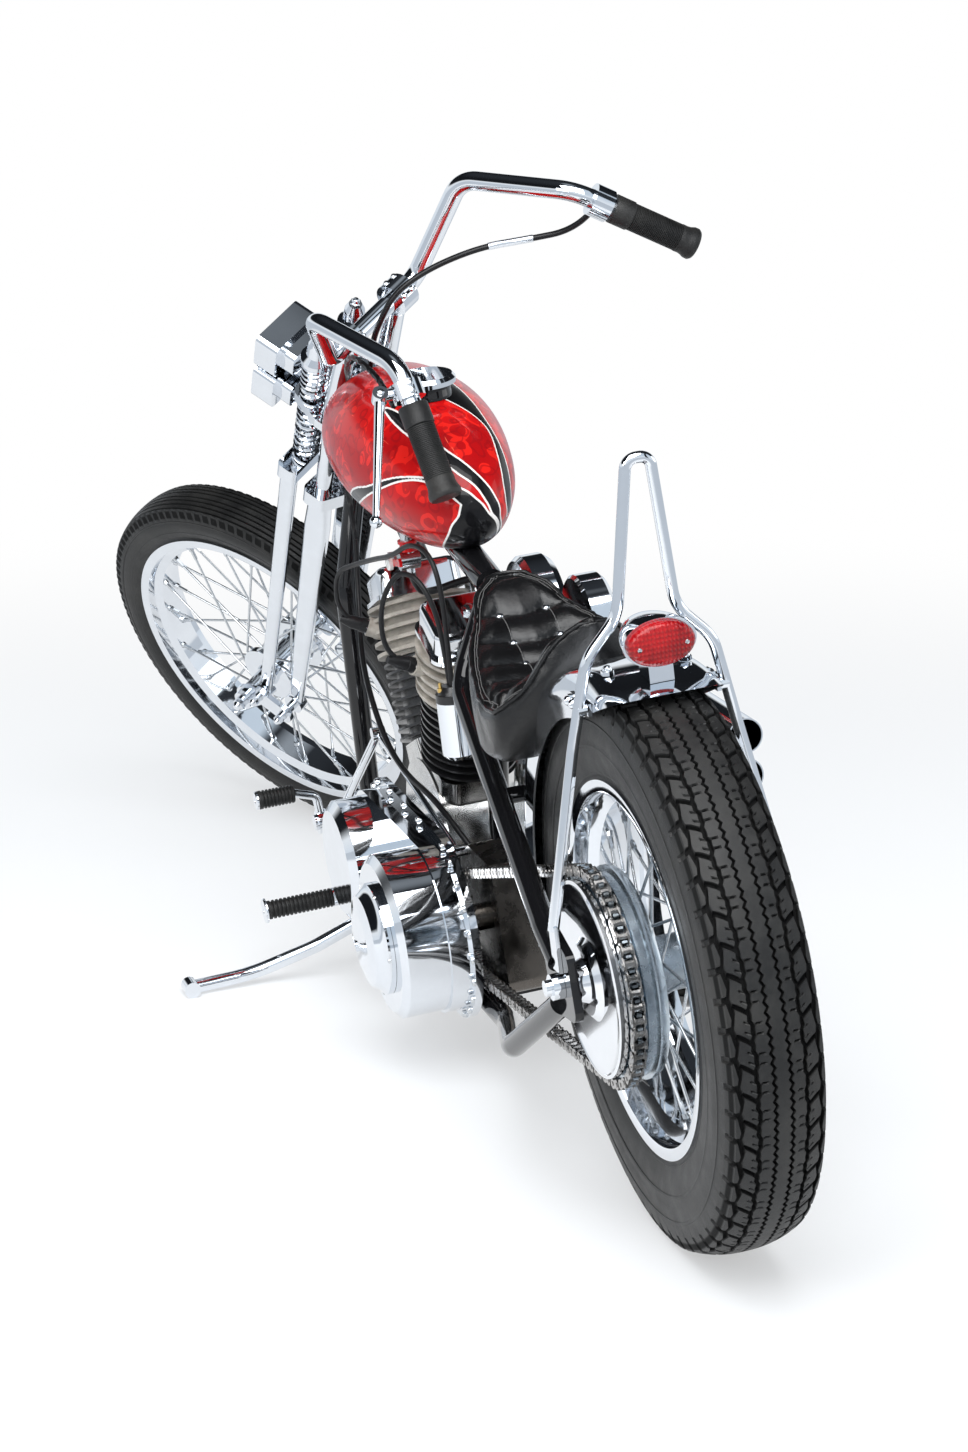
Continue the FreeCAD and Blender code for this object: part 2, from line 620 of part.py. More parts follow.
fender_back, fender_sweep = -16.0, 118.0
tail_cut = box((-300, -200, -300), (150, 200, 0))
tail_cut.Placement = Placement(Vector(-90, 0, 665), Rotation(Y, 20.7))
fender = fender_block(0, edge_low, fender_back, fender_sweep)
fender = fender.cut(fender_block(-size("fender_wall"), edge_low - 5, fender_back - 5, fender_sweep + 10))
add("rear_fender", fender.cut(tail_cut))
fender_space = fender_block(0.5, edge_low, fender_back - 5, fender_sweep + 10)

# x, half width, underside, rim and middle of the saddle's top, from its nose back to the raised rear lip.
SEAT = ((540, 10, 655, 676, 676), (522, 34, 630, 668, 662), (500, 54, 600, 656, 650),
        (470, 70, 560, 640, 634),
        (430, 88, 522, 626, 614), (380, 104, 510, 610, 594), (320, 118, 508, 592, 580),
        (260, 122, 515, 584, 590),
        (230, 114, 530, 590, 622), (203, 92, 560, 606, 660), (186, 62, 600, 640, 684),
        (168, 22, 630, 682, 692))


def saddle_section(x, wide, under, rim, middle):
    right = [(0.8 * wide, under), (wide, under + 10), (wide, rim - 4), (wide * 0.88, rim + 6),
             (0.4 * wide, middle)]
    loop = [Vector(x, y, z) for y, z in right] + [Vector(x, -y, z) for y, z in reversed(right)]
    return Part.makePolygon(loop + loop[:1])


seat = Part.makeLoft([saddle_section(*row) for row in SEAT], True, True).cut(fender_space)
add("seat", max(seat.Solids, key=lambda solid: solid.Volume))

rod_r = size("rod_radius")
sissy = tube([(-2, 137, 396), (-14, 95, 600), (-28, 73, 701), (-31, 33, 744), (-58, 13.5, 919),
              (-58, -13.5, 919), (-31, -33, 744), (-28, -73, 701), (-14, -95, 600), (-2, -137, 396)],
             [120, 60, 55, 13, 13, 55, 60, 120], rod_r)
sissy_feet = [box((-12, plate_out_y + gap, 348), (10, plate_out_y + 5, 402)),
              box((-12, -plate_out_y - 5, 348), (10, -plate_out_y - gap, 402))]
straps = []
for side in (1, -1):
    straps.append(rod((-21, side * 75, 645), (-21, side * 87, 645), 7))
    straps.append(box((-28, min(side * (half + gap), side * (half + 5)), 638),
                      (34, max(side * (half + gap), side * (half + 5)), 652)))
sissy = fused([sissy] + sissy_feet + straps)
add("sissy_bar", sissy)

light_x, light_z, light_tilt = -68.0, 717.0, 8.0
light_place = Placement(Vector(light_x, 0, light_z), Rotation(Y, -90 - light_tilt))


def oval_prism(half_u, half_v, low, high, place):
    """An oval block: half_u across Y, half_v upward, between two depths."""
    wire = Part.Wire([Part.Ellipse(Vector(0, 0, 0), half_u, half_v).toShape()])
    wire.rotate(Vector(0, 0, 0), Z, 90)
    wire.translate(Vector(0, 0, low))
    block = Part.Face(wire).extrude(Vector(0, 0, high - low))
    block.Placement = place
    return block


def oval_ring(half_u, half_v, depth):
    wire = Part.Wire([Part.Ellipse(Vector(0, 0, 0), half_u, half_v).toShape()])
    wire.rotate(Vector(0, 0, 0), Z, 90)
    wire.translate(Vector(0, 0, depth))
    return wire


shell = Part.makeLoft([oval_ring(42, 28, 0), oval_ring(41, 27, -14), oval_ring(34, 22, -38),
                       oval_ring(16, 11, -62)],
                      True, False)
shell.Placement = light_place
shell = shell.fuse(box((-62, -14, 650), (-28, 14, light_z - 14))).cut(fender_space)
add("tail_light_shell", max(shell.Solids, key=lambda s: s.Volume))
lens = Part.makeLoft([oval_ring(39, 25.5, gap), oval_ring(38, 25, 7), oval_ring(30, 19, 12)], True, False)
lens.Placement = light_place
add("tail_light_lens", lens)

# ---------------------------------------------------------------------------------------
# Engine: two finned cylinders in a V above a common crankcase
# ---------------------------------------------------------------------------------------
crank = gearbox + Vector(262, 0, 22)
lean_v = size("cylinder_angle")
fin_r = size("fin_radius")
deck, barrel_top, head_top = 138.0, 252.0, 330.0


def on_cylinder(shape, side):
    """A piece made upright over the crank's centre, tipped to a cylinder: side 1 front, -1 rear."""
    shape = shape.copy()
    shape.rotate(Vector(0, 0, 0), Y, side * lean_v)
    shape.translate(crank)
    return shape


def finned(low, high, core, fin, count, fin_thick):
    """Corners (along, radius) of a core with round fins."""
    step = (high - low) / count
    rows = [(low, 0), (low, core)]
    for i in range(count):
        start = low + i * step + (step - fin_thick) / 2
        rows += [(start, core), (start, fin), (start + fin_thick, fin), (start + fin_thick, core)]
    return rows + [(high, core), (high, 0)]


barrel = turned(finned(deck + gap, barrel_top, 50, fin_r - 6, 9, 3.4), axis=Z)
halves = {1: box((crank.x + gap, -200, 0), (crank.x + 400, 200, 800)),
          -1: box((crank.x - 400, -200, 0), (crank.x - gap, 200, 800))}
add("cylinders", Part.makeCompound([on_cylinder(barrel, s).common(halves[s]) for s in (1, -1)]))
head = turned(finned(barrel_top + gap, head_top, 56, fin_r, 5, 5.0), axis=Z)
plug_boss = rod((0, 40, head_top - 44), (0, fin_r + 6, head_top - 26), 13)
head = head.fuse(plug_boss)
port_in, port_out = Vector(18, -20, head_top - 36), Vector(62, -fin_r - 10, head_top - 46)
port = {1: rod(port_in, port_out, 22), -1: rod(Vector(-port_in.x, port_in.y, port_in.z),
                                               Vector(-port_out.x, port_out.y, port_out.z), 22)}
add("cylinder_heads", Part.makeCompound([on_cylinder(head.fuse(port[s]), s) for s in (1, -1)]))

box_wide, box_deep, box_high = 58.0, 46.0, 44.0
pushrod_r = 8.0
pushrod_y = fin_r + pushrod_r + 2.0
cover = rounded_plate([(-box_deep, -box_wide), (box_deep, -box_wide), (box_deep, box_wide),
                       (-box_deep, box_wide)],
                      18, box_high)
cover.translate(Vector(0, 0, head_top + gap))
lip = rounded_plate([(-box_deep - 5, -pushrod_y - 12), (box_deep + 5, -pushrod_y - 12),
                     (box_deep + 5, box_wide + 5), (-box_deep - 5, box_wide + 5)], 20, 6)
lip.translate(Vector(0, 0, head_top + gap))
dome = cover.makeFillet(12, [e for e in cover.Edges if e.BoundBox.ZMin > head_top + box_high - 1])
add("rocker_boxes", Part.makeCompound([on_cylinder(dome.fuse(lip), s) for s in (1, -1)]))

case_half, case_r = 54.0, 116.0
case_body = Part.makeCylinder(case_r, 2 * case_half, crank - Y * case_half, Y)
deck_block = rounded_plate([(-56, -52), (56, -52), (56, 52), (-56, 52)], 24, 60)
deck_block.translate(Vector(0, 0, deck - 60))
sump = box((crank.x - 120, -48, rail_z + 10), (1070, 48, crank.z - 60))
cam_out = pushrod_y + 16
cam_chest = belt([(crank.x + 56, crank.z + 8, 60), (crank.x - 44, crank.z - 8, 66)],
                 cam_out - case_half + 4, -cam_out)
front_mag = Part.makeCylinder(28, 50, Vector(crank.x + 116, -case_half - 46, crank.z + 66), Y)
tappets = [on_cylinder(rod((shift, -pushrod_y, 40), (shift, -pushrod_y, 100), 13), side)
           for side in (1, -1) for shift in (-17.0, 17.0)]
case = fused([case_body, on_cylinder(deck_block, 1), on_cylinder(deck_block, -1), sump, cam_chest, front_mag]
             + tappets)
add("crankcase", case)
pushrods = [on_cylinder(rod((shift, -pushrod_y, 100 + gap), (shift, -pushrod_y, head_top), pushrod_r), side)
            for side in (1, -1) for shift in (-17.0, 17.0)]
add("pushrod_tubes", Part.makeCompound(pushrods))

intake = Vector(crank.x, 0, crank.z + 286)
carb_y = -pushrod_y - pushrod_r - 8
carb_deep = 12.0
manifold = fused([rod(intake - X * 60, intake + X * 60, 15), rod(intake, intake + Y * (carb_y + 6), 15)])
for side in (1, -1):
    manifold = manifold.cut(on_cylinder(Part.makeCylinder(fin_r + gap, 100, Vector(0, 0, head_top - 90)),
                                        side))
carb = fused([manifold, box((crank.x - 24, carb_y - carb_deep + 8, intake.z - 30),
                            (crank.x + 24, carb_y + 6, intake.z + 26)),
              rod(intake + Y * carb_y, intake + Y * (carb_y - carb_deep), 24)])
add("carburettor", carb)
revolved("air_cleaner", [(0, 0), (0, 74), (8, 80), (36, 80), (46, 72), (46, 0)], {},
         at=intake + Y * (carb_y - carb_deep - gap), axis=Y * -1)

# ---------------------------------------------------------------------------------------
# Primary drive cover on the left, gearbox behind the engine
# ---------------------------------------------------------------------------------------
inner_y, flange_y, front_y, rear_y = 100.0, 110.0, 186.0, 198.0
front_drum, rear_drum = 82.0, 106.0
inner = belt([(crank.x, crank.z, front_drum + 18), (gearbox.x, gearbox.z, rear_drum + 16)],
             flange_y - inner_y, inner_y)
step = belt([(crank.x, crank.z, front_drum + 6), (gearbox.x, gearbox.z, rear_drum + 4)], 26, flange_y)
front_cover = turned([(0, 0), (0, front_drum), (front_y - flange_y - 10, front_drum),
                      (front_y - flange_y, front_drum - 12),
                      (front_y - flange_y, 0)], Vector(crank.x, flange_y, crank.z))
rear_cover = turned([(0, 0), (0, rear_drum), (rear_y - flange_y - 8, rear_drum),
                     (rear_y - flange_y, rear_drum - 10),
                     (rear_y - flange_y, 0)], Vector(gearbox.x, flange_y, gearbox.z))
snout = Part.makeCylinder(40, inner_y - case_half, Vector(crank.x, case_half, crank.z), Y)
add("primary_cover", fused([inner, step, front_cover, rear_cover]).cut(
    Part.makeCylinder(30, 20, Vector(gearbox.x, inner_y - 5, gearbox.z), Y)))
revolved("derby_cover", [(gap, 0), (gap, 72), (8, 72), (12, 66), (22, 58), (27, 40), (29, 0)],
         {(0, "along"): "Sizes.fit_gap", (1, "along"): "Sizes.fit_gap"},
         at=Vector(gearbox.x, rear_y, gearbox.z))
add("engine_snout", snout.cut(Part.makeCylinder(60, 1, Vector(crank.x, inner_y - 0.5, crank.z), Y)))

post_back = post_foot.x - tube_r - 1 - gearbox.x
box_low = rail_z + 10 - gearbox.z
box_body = rounded_plate([(-95, box_low), (post_back, box_low), (post_back, 60), (40, 86), (-70, 86)], 18,
                         124)
box_body.Placement = Placement(gearbox + Vector(0, 62, 0), Rotation(X, 90))
main_shaft = rod(gearbox + Y * 60, gearbox + Y * (inner_y + 2), 17.5)
kick_cover = belt([(gearbox.x, gearbox.z, 52), (gearbox.x - 60, gearbox.z - 6, 40)], 38, -98)
add("transmission", fused([box_body, main_shaft, kick_cover]))
kick_y = -98 - gap
arm = fused([rod(gearbox + Y * kick_y, gearbox + Y * (kick_y - 16), 15),
             tube([gearbox + Y * (kick_y - 11), gearbox + Vector(-60, kick_y - 22, 60),
                   gearbox + Vector(-150, kick_y - 30, 120)], [60], 9),
             rod(gearbox + Vector(-150, kick_y - 24, 120), gearbox + Vector(-150, kick_y - 110, 120), 11)])
add("kick_starter", arm)

# Exhaust: one pipe from each head's right side, stacked along the right.
pipe_r, pipe_wall = size("pipe_radius"), size("pipe_wall")


def port_line(side):
    """The exhaust port's mouth and the way out of it."""
    way = on_cylinder(Part.makeLine(Vector(port_in.x * side, port_in.y, port_in.z),
                                    Vector(port_out.x * side, port_out.y, port_out.z)), side)
    start, end = way.Vertexes[0].Point, way.Vertexes[1].Point
    return end, (end - start).normalize()


(rear_port, rear_way), (front_port, front_way) = port_line(-1), port_line(1)
rear_route = [rear_port + rear_way * gap, rear_port + rear_way * 62, Vector(560, -152, 522),
              Vector(128, -152, 531)]
front_route = [front_port + front_way * gap, front_port + front_way * 66,
               front_port + front_way * 66 + Vector(0, -26, -130), Vector(760, -156, 380),
               Vector(560, -156, 440), Vector(150, -156, 476)]
rear_pipe = tube(rear_route, [48, 200], pipe_r, pipe_wall)
front_pipe = tube(front_route, [45, 55, 200, 200], pipe_r, pipe_wall)
add("exhaust_pipes", Part.makeCompound([rear_pipe, front_pipe]))

drum_oil = turned([(0, 0), (0, 60), (4, 64), (32, 64), (38, 58), (38, 0)], Vector(540, -88, 581), Y * -1)
oil_bracket = box((530, -88, 500), (550, -70, 560)).cut(mirrored(rod(stay_top, stay_low, tube_r + gap)))
add("oil_tank", drum_oil.fuse(oil_bracket))

coil_foot, coil_high = Vector(645, 56, 411), 96.0
coil = turned([(0, 0), (0, 15), (6, 21), (86, 21), (86, 18), (90, 16), (coil_high, 12), (coil_high, 0)],
              coil_foot, Z)
post_way = (Vector(700, 0, 300) - post_top).normalize()
clamp_at = post_top + post_way * 190
coil_clamp = rod(clamp_at - post_way * 9, clamp_at + post_way * 9, tube_r + 5).fuse(
    box((clamp_at.x - 9, 10, clamp_at.z - 9), (clamp_at.x + 9, 38, clamp_at.z + 9)))
coil_clamp = coil_clamp.cut(rod(post_top, clamp_at + post_way * 30, tube_r + gap))
add("ignition_coil", coil.fuse(coil_clamp))

# Ignition leads: a boot on each plug, then up past the heads and down to the coil.
plug_end = {side: on_cylinder(Part.Vertex(0, fin_r + 6, head_top - 26), side).Point for side in (1, -1)}
plug_way = {side: (plug_end[side] - on_cylinder(Part.Vertex(0, 40, head_top - 44), side).Point).normalize()
            for side in (1, -1)}
coil_top = coil_foot + Z * coil_high
LEADS = {-1: ((727, 117, 600), (702, 96, 650), (672, 76, 648), (654, 62, 608), (652, 57, 558)),
         1: ((960, 116, 600), (900, 100, 620), (830, 90, 640), (762, 84, 656), (704, 70, 684), (658, 58, 676),
             (640, 54, 630), (639, 55, 565))}
leads = []
for side, shift in ((-1, 5), (1, -5)):
    first = plug_end[side] + plug_way[side] * gap
    elbow = plug_end[side] + plug_way[side] * 40
    last = coil_top + Vector(shift, 0, gap)
    lead = cord("lead", [first, elbow] + list(LEADS[side]) + [last], 3.5)
    boot = rod(first, first + plug_way[side] * 26, 10.5, 8)
    leads.append(fused([lead, boot]))

# Petcock under the tank's left half, and the hose from it over the engine to the carburettor.
tap_x, tap_y = 795.0, 52.0
petcock = fused([rod((tap_x, tap_y, 645), (tap_x, tap_y, 690), 9),
                 rod((tap_x, tap_y - 12, 640), (tap_x, tap_y + 14, 640), 13),
                 rod((tap_x, tap_y, 640), (tap_x, tap_y, 622), 5.5),
                 box((tap_x - 5, tap_y + 12, 635), (tap_x + 36, tap_y + 20, 645))]).cut(tank)
add("petcock", max(petcock.Solids, key=lambda solid: solid.Volume))
hose = cord("hose", [(tap_x, tap_y, 622 - gap), (804, 44, 592), (842, 12, 580), (864, -34, 582),
                     (868, -78, 580),
                     (868, -95, intake.z + 26 + gap)], 5)
hose = hose.cut(carb).cut(petcock)

# The clutch cable's lower half, from beside the neck down to the gearbox.
low_cable = cord("clutch cable", [(1120, 45, 600), (1110, 54, 520), (1058, 72, 455), (972, 88, 424),
                                  (906, 88, 366),
                                  (832, 82, 340), (758, 74, 334), (700, 64, 312), (668, 50, 281)], 4)
add("cables", Part.makeCompound(leads + [hose, low_cable.cut(box_body)]))

# ---------------------------------------------------------------------------------------
# Springer fork, in the fork's own axes: rigid rear legs, sprung front legs, rockers
# ---------------------------------------------------------------------------------------
rear_leg_x, rear_leg_y, rocker_z = -69.0, 62.0, 18.0
front_leg_x, front_leg_y, front_pivot_z = -22.0, 76.0, 22.0
crown_low, crown_high = 539.0, 566.0
perch_low, perch_high = 712.0, 728.0
bridge_low, bridge_high = 570.0, 597.0
rod_y, rod_rad = 40.0, 6.5
rocker_in, rocker_out = 87.0, 95.0
stem_r = size("stem_radius")


def leg_section(x, y, z, deep, wide):
    """A rounded bar section across the leg: deep along x, wide along y."""
    plate = rounded_plate([(x - deep / 2, y - wide / 2), (x + deep / 2, y - wide / 2),
                           (x + deep / 2, y + wide / 2), (x - deep / 2, y + wide / 2)],
                           min(deep, wide) * 0.42, 1)
    wire = max(plate.Faces, key=lambda f: -f.CenterOfMass.z).OuterWire
    wire.translate(Vector(0, 0, z))
    return wire


def rear_leg():
    blade = Part.makeLoft([leg_section(rear_leg_x, rear_leg_y, rocker_z + 8, 24, 13),
                           leg_section(rear_leg_x, rear_leg_y, crown_low - 60, 40, 19),
                           leg_section(rear_leg_x, rear_leg_y, crown_low + 4, 34, 22)], True, True)
    eye = rod((rear_leg_x, rear_leg_y - 8, rocker_z), (rear_leg_x, rear_leg_y + 8, rocker_z), 16)
    upper = rod((rear_leg_x, rear_leg_y - 4, crown_low), (rear_leg_x, rear_leg_y - 4, perch_low - gap), 12)
    return fused([blade, eye, upper])


crown_outline = [(stem_x - 22, -20), (rear_leg_x - 12, -rear_leg_y - 16), (rear_leg_x + 24, -rear_leg_y - 16),
                 (rear_leg_x + 22, 0), (rear_leg_x + 24, rear_leg_y + 16), (rear_leg_x - 12, rear_leg_y + 16),
                 (stem_x - 22, 20)]
crown = rounded_plate(crown_outline, 11, crown_high - crown_low)
crown.translate(Vector(0, 0, crown_low))
stem = fused([rod((stem_x, 0, crown_low), (stem_x, 0, perch_high + 26), stem_r),
              rod((stem_x, 0, crown_high - 2), (stem_x, 0, neck_low - gap), 24)])
pins_rear = rod((rear_leg_x, rear_leg_y, rocker_z), (rear_leg_x, rocker_out + 8, rocker_z), 7)
add("fork_rear_legs", fused([crown, stem, rear_leg(), mirrored(rear_leg()), pins_rear,
                             mirrored(pins_rear)]), "fork")

perch_outline = [(stem_x - 26, -24), (rear_leg_x - 15, -rear_leg_y - 12), (rear_leg_x + 16, -rear_leg_y - 12),
                 (front_leg_x + 24, -rod_y - 14), (front_leg_x + 24, rod_y + 14),
                 (rear_leg_x + 16, rear_leg_y + 12), (rear_leg_x - 15, rear_leg_y + 12), (stem_x - 26, 24)]
perch = rounded_plate(perch_outline, 12, perch_high - perch_low)
perch.translate(Vector(0, 0, perch_low))
perch = perch.fuse(rod((stem_x, 0, neck_high + gap), (stem_x, 0, perch_low + 2), 24))
perch = perch.cut(rod((stem_x, 0, neck_high - 1), (stem_x, 0, perch_high + 1), stem_r + gap))
for side in (1, -1):
    perch = perch.cut(rod((front_leg_x, side * rod_y, perch_low - 1),
                          (front_leg_x, side * rod_y, perch_high + 1),
                          rod_rad + 1.5))
add("fork_perch", perch, "fork")
revolved("stem_nut", [(gap, stem_r + gap), (gap, 24), (14, 24), (22, 20), (26, stem_r + gap)],
         {(0, "radius"): "Sizes.stem_radius + Sizes.fit_gap",
          (4, "radius"): "Sizes.stem_radius + Sizes.fit_gap"},
         "fork", Vector(stem_x, 0, perch_high), Z)


def front_leg():
    blade = Part.makeLoft([leg_section(front_leg_x, front_leg_y, front_pivot_z + 8, 20, 13),
                           leg_section(front_leg_x, front_leg_y, bridge_low + 4, 26, 15)], True, True)
    eye = rod((front_leg_x, front_leg_y - 7, front_pivot_z),
              (front_leg_x, front_leg_y + 7, front_pivot_z), 14)
    pin = rod((front_leg_x, front_leg_y, front_pivot_z), (front_leg_x, rocker_out + 8, front_pivot_z), 7)
    return fused([blade, eye, pin])


bridge = rounded_plate([(front_leg_x - 14, -front_leg_y - 10), (front_leg_x + 18, -front_leg_y - 10),
                        (front_leg_x + 18, front_leg_y + 10), (front_leg_x - 14, front_leg_y + 10)], 9,
                       bridge_high - bridge_low)
bridge.translate(Vector(0, 0, bridge_low))
rod_top = 846.0
rods = [rod((front_leg_x, s * rod_y, bridge_low + 5), (front_leg_x, s * rod_y, rod_top),
            rod_rad) for s in (1, -1)]
add("fork_front_legs", fused([bridge, front_leg(), mirrored(front_leg())] + rods), "fork")

spring_r, wire_r = 20.0, 4.0
lower_top, upper_top = perch_low - gap, 800.0


def coil_spring(low, high, turns, side):
    """A closed, ribbed sleeve of the spring's outline round its rod."""
    step = (high - low) / turns
    rows = [(low, rod_rad + gap), (low, spring_r)]
    for i in range(turns):
        base = low + i * step
        rows += [(base + step * 0.5, spring_r), (base + step * 0.62, spring_r - wire_r),
                 (base + step * 0.88, spring_r - wire_r), (base + step, spring_r)]
    return turned(rows + [(high, rod_rad + gap)], Vector(front_leg_x, side * rod_y, 0), Z)


springs = []
for side in (1, -1):
    springs.append(coil_spring(bridge_high + gap, lower_top, 8, side))
    springs.append(coil_spring(perch_high + gap, upper_top, 6, side))
add("fork_springs", Part.makeCompound(springs), "fork")
caps = [turned([(upper_top + gap, rod_rad + gap), (upper_top + gap, 22), (upper_top + 8, 22),
                (upper_top + 16, 15),
                (upper_top + 34, 14), (upper_top + 46, 9), (upper_top + 46, rod_rad + gap)],
               Vector(front_leg_x, s * rod_y, 0), Z) for s in (1, -1)]
add("spring_caps", Part.makeCompound(caps), "fork")

front_axle_r = size("axle_radius")
rocker = belt([(0, 0, 19), (front_leg_x, front_pivot_z, 15), (rear_leg_x, rocker_z, 15)],
              rocker_out - rocker_in,
              rocker_in)
for x, z, r in ((0, 0, front_axle_r + gap), (front_leg_x, front_pivot_z, 7 + gap),
                (rear_leg_x, rocker_z, 7 + gap)):
    rocker = rocker.cut(Part.makeCylinder(r, 30, Vector(x, rocker_in - 10, z), Y))
add("fork_rockers", both_sides(rocker), "fork")
nut_at = rocker_out + gap
spacer = turned([(50 + gap, front_axle_r), (50 + gap, 15), (rocker_in - gap, 15),
                 (rocker_in - gap, front_axle_r)])
front_axle_shape = fused([rod((0, -nut_at - 14, 0), (0, nut_at + 14, 0), front_axle_r),
                          rod((0, nut_at, 0), (0, nut_at + 10, 0), 15),
                          rod((0, -nut_at, 0), (0, -nut_at - 10, 0), 15),
                          spacer, mirrored(spacer)])
add("front_axle", front_axle_shape, "fork")

# Risers, handlebar, grips and controls.
clamp_x, clamp_y, clamp_z = -77.0, 55.0, 897.0
bar_r = size("bar_radius")
riser_foot = Vector(rear_leg_x, rear_leg_y - 4, perch_high + gap)
riser = fused([rod(riser_foot, riser_foot + Z * 8, 16),
               rod(riser_foot + Z * 4, (clamp_x, clamp_y, clamp_z - 18), 15, 13),
               Part.makeCylinder(24, 30, Vector(clamp_x, clamp_y - 15, clamp_z), Y)])
riser = riser.cut(Part.makeCylinder(bar_r + gap, 40, Vector(clamp_x, clamp_y - 20, clamp_z), Y))
add("risers", both_sides(riser), "fork")
corner = Vector(-86, 156, 1051)
grip_start, grip_end = Vector(-283, 213, 1100), Vector(-385, 270, 1056)
grip_way = (grip_end - grip_start).normalize()
sweep_start = grip_start - grip_way * 55


def flip(point):
    return (point.x, -point.y, point.z)


bar = tube([tuple(grip_end - grip_way * 6), tuple(sweep_start), tuple(corner), (clamp_x, 92, clamp_z),
            (clamp_x, -92, clamp_z), flip(corner), flip(sweep_start), flip(grip_end - grip_way * 6)],
           [55, 42, 34, 34, 42, 55], bar_r, 2.4)
add("handlebar", bar, "fork")
grip_r = size("grip_radius")
grip_long = (grip_end - grip_start).Length


def along_grip(rows):
    return turned(rows, grip_start, grip_way)


grip = turned([(0, bar_r + gap), (0, grip_r + 4), (6, grip_r + 4), (8, grip_r), (grip_long - 14, grip_r),
               (grip_long - 10, grip_r + 5), (grip_long - 3, grip_r + 4), (grip_long, grip_r - 2),
               (grip_long, 0),
               (grip_long - 5, 0), (grip_long - 5, bar_r + gap)], axis=Z)
grip_turn = Placement(grip_start, Rotation(Z, grip_way))
grip.Placement = grip_turn
add("grips", both_sides(grip), "fork")


def on_grip(shape):
    """A piece made along +Z from the grip's inner end, set on the left grip."""
    shape = shape.copy()
    shape.Placement = grip_turn
    return shape


collar = turned([(-30, bar_r + gap), (-30, bar_r + 9), (-4, bar_r + 9), (-4, bar_r + gap)], axis=Z)
add("throttle", mirrored(on_grip(collar)), "fork")
perch_ring = on_grip(turned([(-30, bar_r + 1), (-30, bar_r + 8), (-8, bar_r + 8), (-8, bar_r + 1)], axis=Z))
lever_pivot, lever_tip = Vector(-246.2, 232.3, 1104.5), Vector(-337.0, 349.8, 1046.2)
perch_mid = grip_start - grip_way * 19
perch_arm = fused([rod(perch_mid, lever_pivot, 8), rod(lever_pivot - Z * 9, lever_pivot + Z * 9, 10)])
perch_arm = perch_arm.cut(rod(perch_mid - grip_way * 40, perch_mid + grip_way * 40, bar_r + 4))
lever = fused([perch_ring, perch_arm, rod(lever_pivot, lever_tip, 7, 4.5), Part.makeSphere(8, lever_tip)])
add("clutch_lever", lever.cut(on_grip(Part.makeCylinder(bar_r + gap, 60, Vector(0, 0, -50)))), "fork")
throttle_cable = cord("throttle cable", [
    (-262, -200, 1088), (-250, -190, 1050), (-200, -150, 1025), (-164, -100, 1026), (-123, -50, 996),
    (-106, 0, 978),
    (-105, 25, 945), (-98, 28, 889), (-104, 32, 829), (-108, 35, perch_high + gap)], 4)
add("throttle_cable", throttle_cable.cut(mirrored(on_grip(Part.makeCylinder(bar_r + 9 + gap, 40,
                                                                            Vector(0, 0, -34))))), "fork")

# Two rectangular headlights, one above the other.
lights, lenses = [], []
for z in (672.0, 740.0):
    body = rounded_plate([(-30, -46), (30, -46), (30, 46), (-30, 46)], 9, 36)
    back = rounded_plate([(-20, -34), (20, -34), (20, 34), (-20, 34)], 9, 22)
    back.translate(Vector(0, 0, -22))
    shell = body.fuse(back).cut(rounded_plate([(-26, -42), (26, -42), (26, 42), (-26, 42)], 7, 20).translated(
        Vector(0, 0, 30)))
    glass = rounded_plate([(-25.6, -41.6), (25.6, -41.6), (25.6, 41.6), (-25.6, 41.6)], 6.6, 5)
    glass.translate(Vector(0, 0, 30 + gap))
    for shape, bag in ((shell, lights), (glass, lenses)):
        shape.Placement = Placement(Vector(40, 0, z), Rotation(Y, 90)).multiply(shape.Placement)
        bag.append(shape)
add("headlights", Part.makeCompound(lights), "fork")
add("headlight_lenses", Part.makeCompound(lenses), "fork")
stalk = box((front_leg_x + 24 + gap, -10, 650), (18 - gap, 10, 760))
add("headlight_bracket", stalk, "fork")

# ---------------------------------------------------------------------------------------
# Rest pose: turn the front end, lean, pitch and set the motorcycle down on the ground
# ---------------------------------------------------------------------------------------
steer_axis_at = on_stem(0)
steer_way = (on_stem(100) - on_stem(0)).normalize()
steer = Placement(Vector(0, 0, 0), Rotation(steer_way, size("steer_rest")), steer_axis_at)
fork_rest = steer.multiply(fork_place)


def lowest(rows, place, up):
    """The lowest point of a turned tyre along up, from its section's corners."""
    centre = place.multVec(Vector(0, 0, 0))
    axis = place.Rotation.multVec(Y)
    cosine = axis.dot(up)
    sine = math.sqrt(1 - cosine * cosine)
    return min(centre.dot(up) + across * cosine - radius * sine for across, radius in rows)


def world(pitch_angle):
    return Rotation(Y, pitch_angle).multiply(Rotation(X, -size("lean")))


def pitch_error(pitch_angle):
    up = world(pitch_angle).inverted().multVec(Z)
    rear = lowest(rear_tyre_rows, Placement(rear_axle, Rotation()), up)
    return rear - lowest(front_tyre_rows, fork_rest, up), rear


low, high = -8.0, 8.0
sign = pitch_error(low)[0] > 0
for _ in range(50):
    pitch_angle = (low + high) / 2
    if (pitch_error(pitch_angle)[0] > 0) == sign:
        low = pitch_angle
    else:
        high = pitch_angle
ground = pitch_error(pitch_angle)[1]
rest = Placement(Vector(0, 0, -ground), world(pitch_angle))
print("pitch %.3f ground %.2f" % (pitch_angle, ground))

# ---------------------------------------------------------------------------------------
# Side stand and foot controls
# ---------------------------------------------------------------------------------------
stand_pivot = Vector(975, 104, rail_z)
stand_axis = Vector(-0.10, 0.29, 1.0).normalize()
pad_r = 11.0
up = rest.Rotation.inverted().multVec(Z)


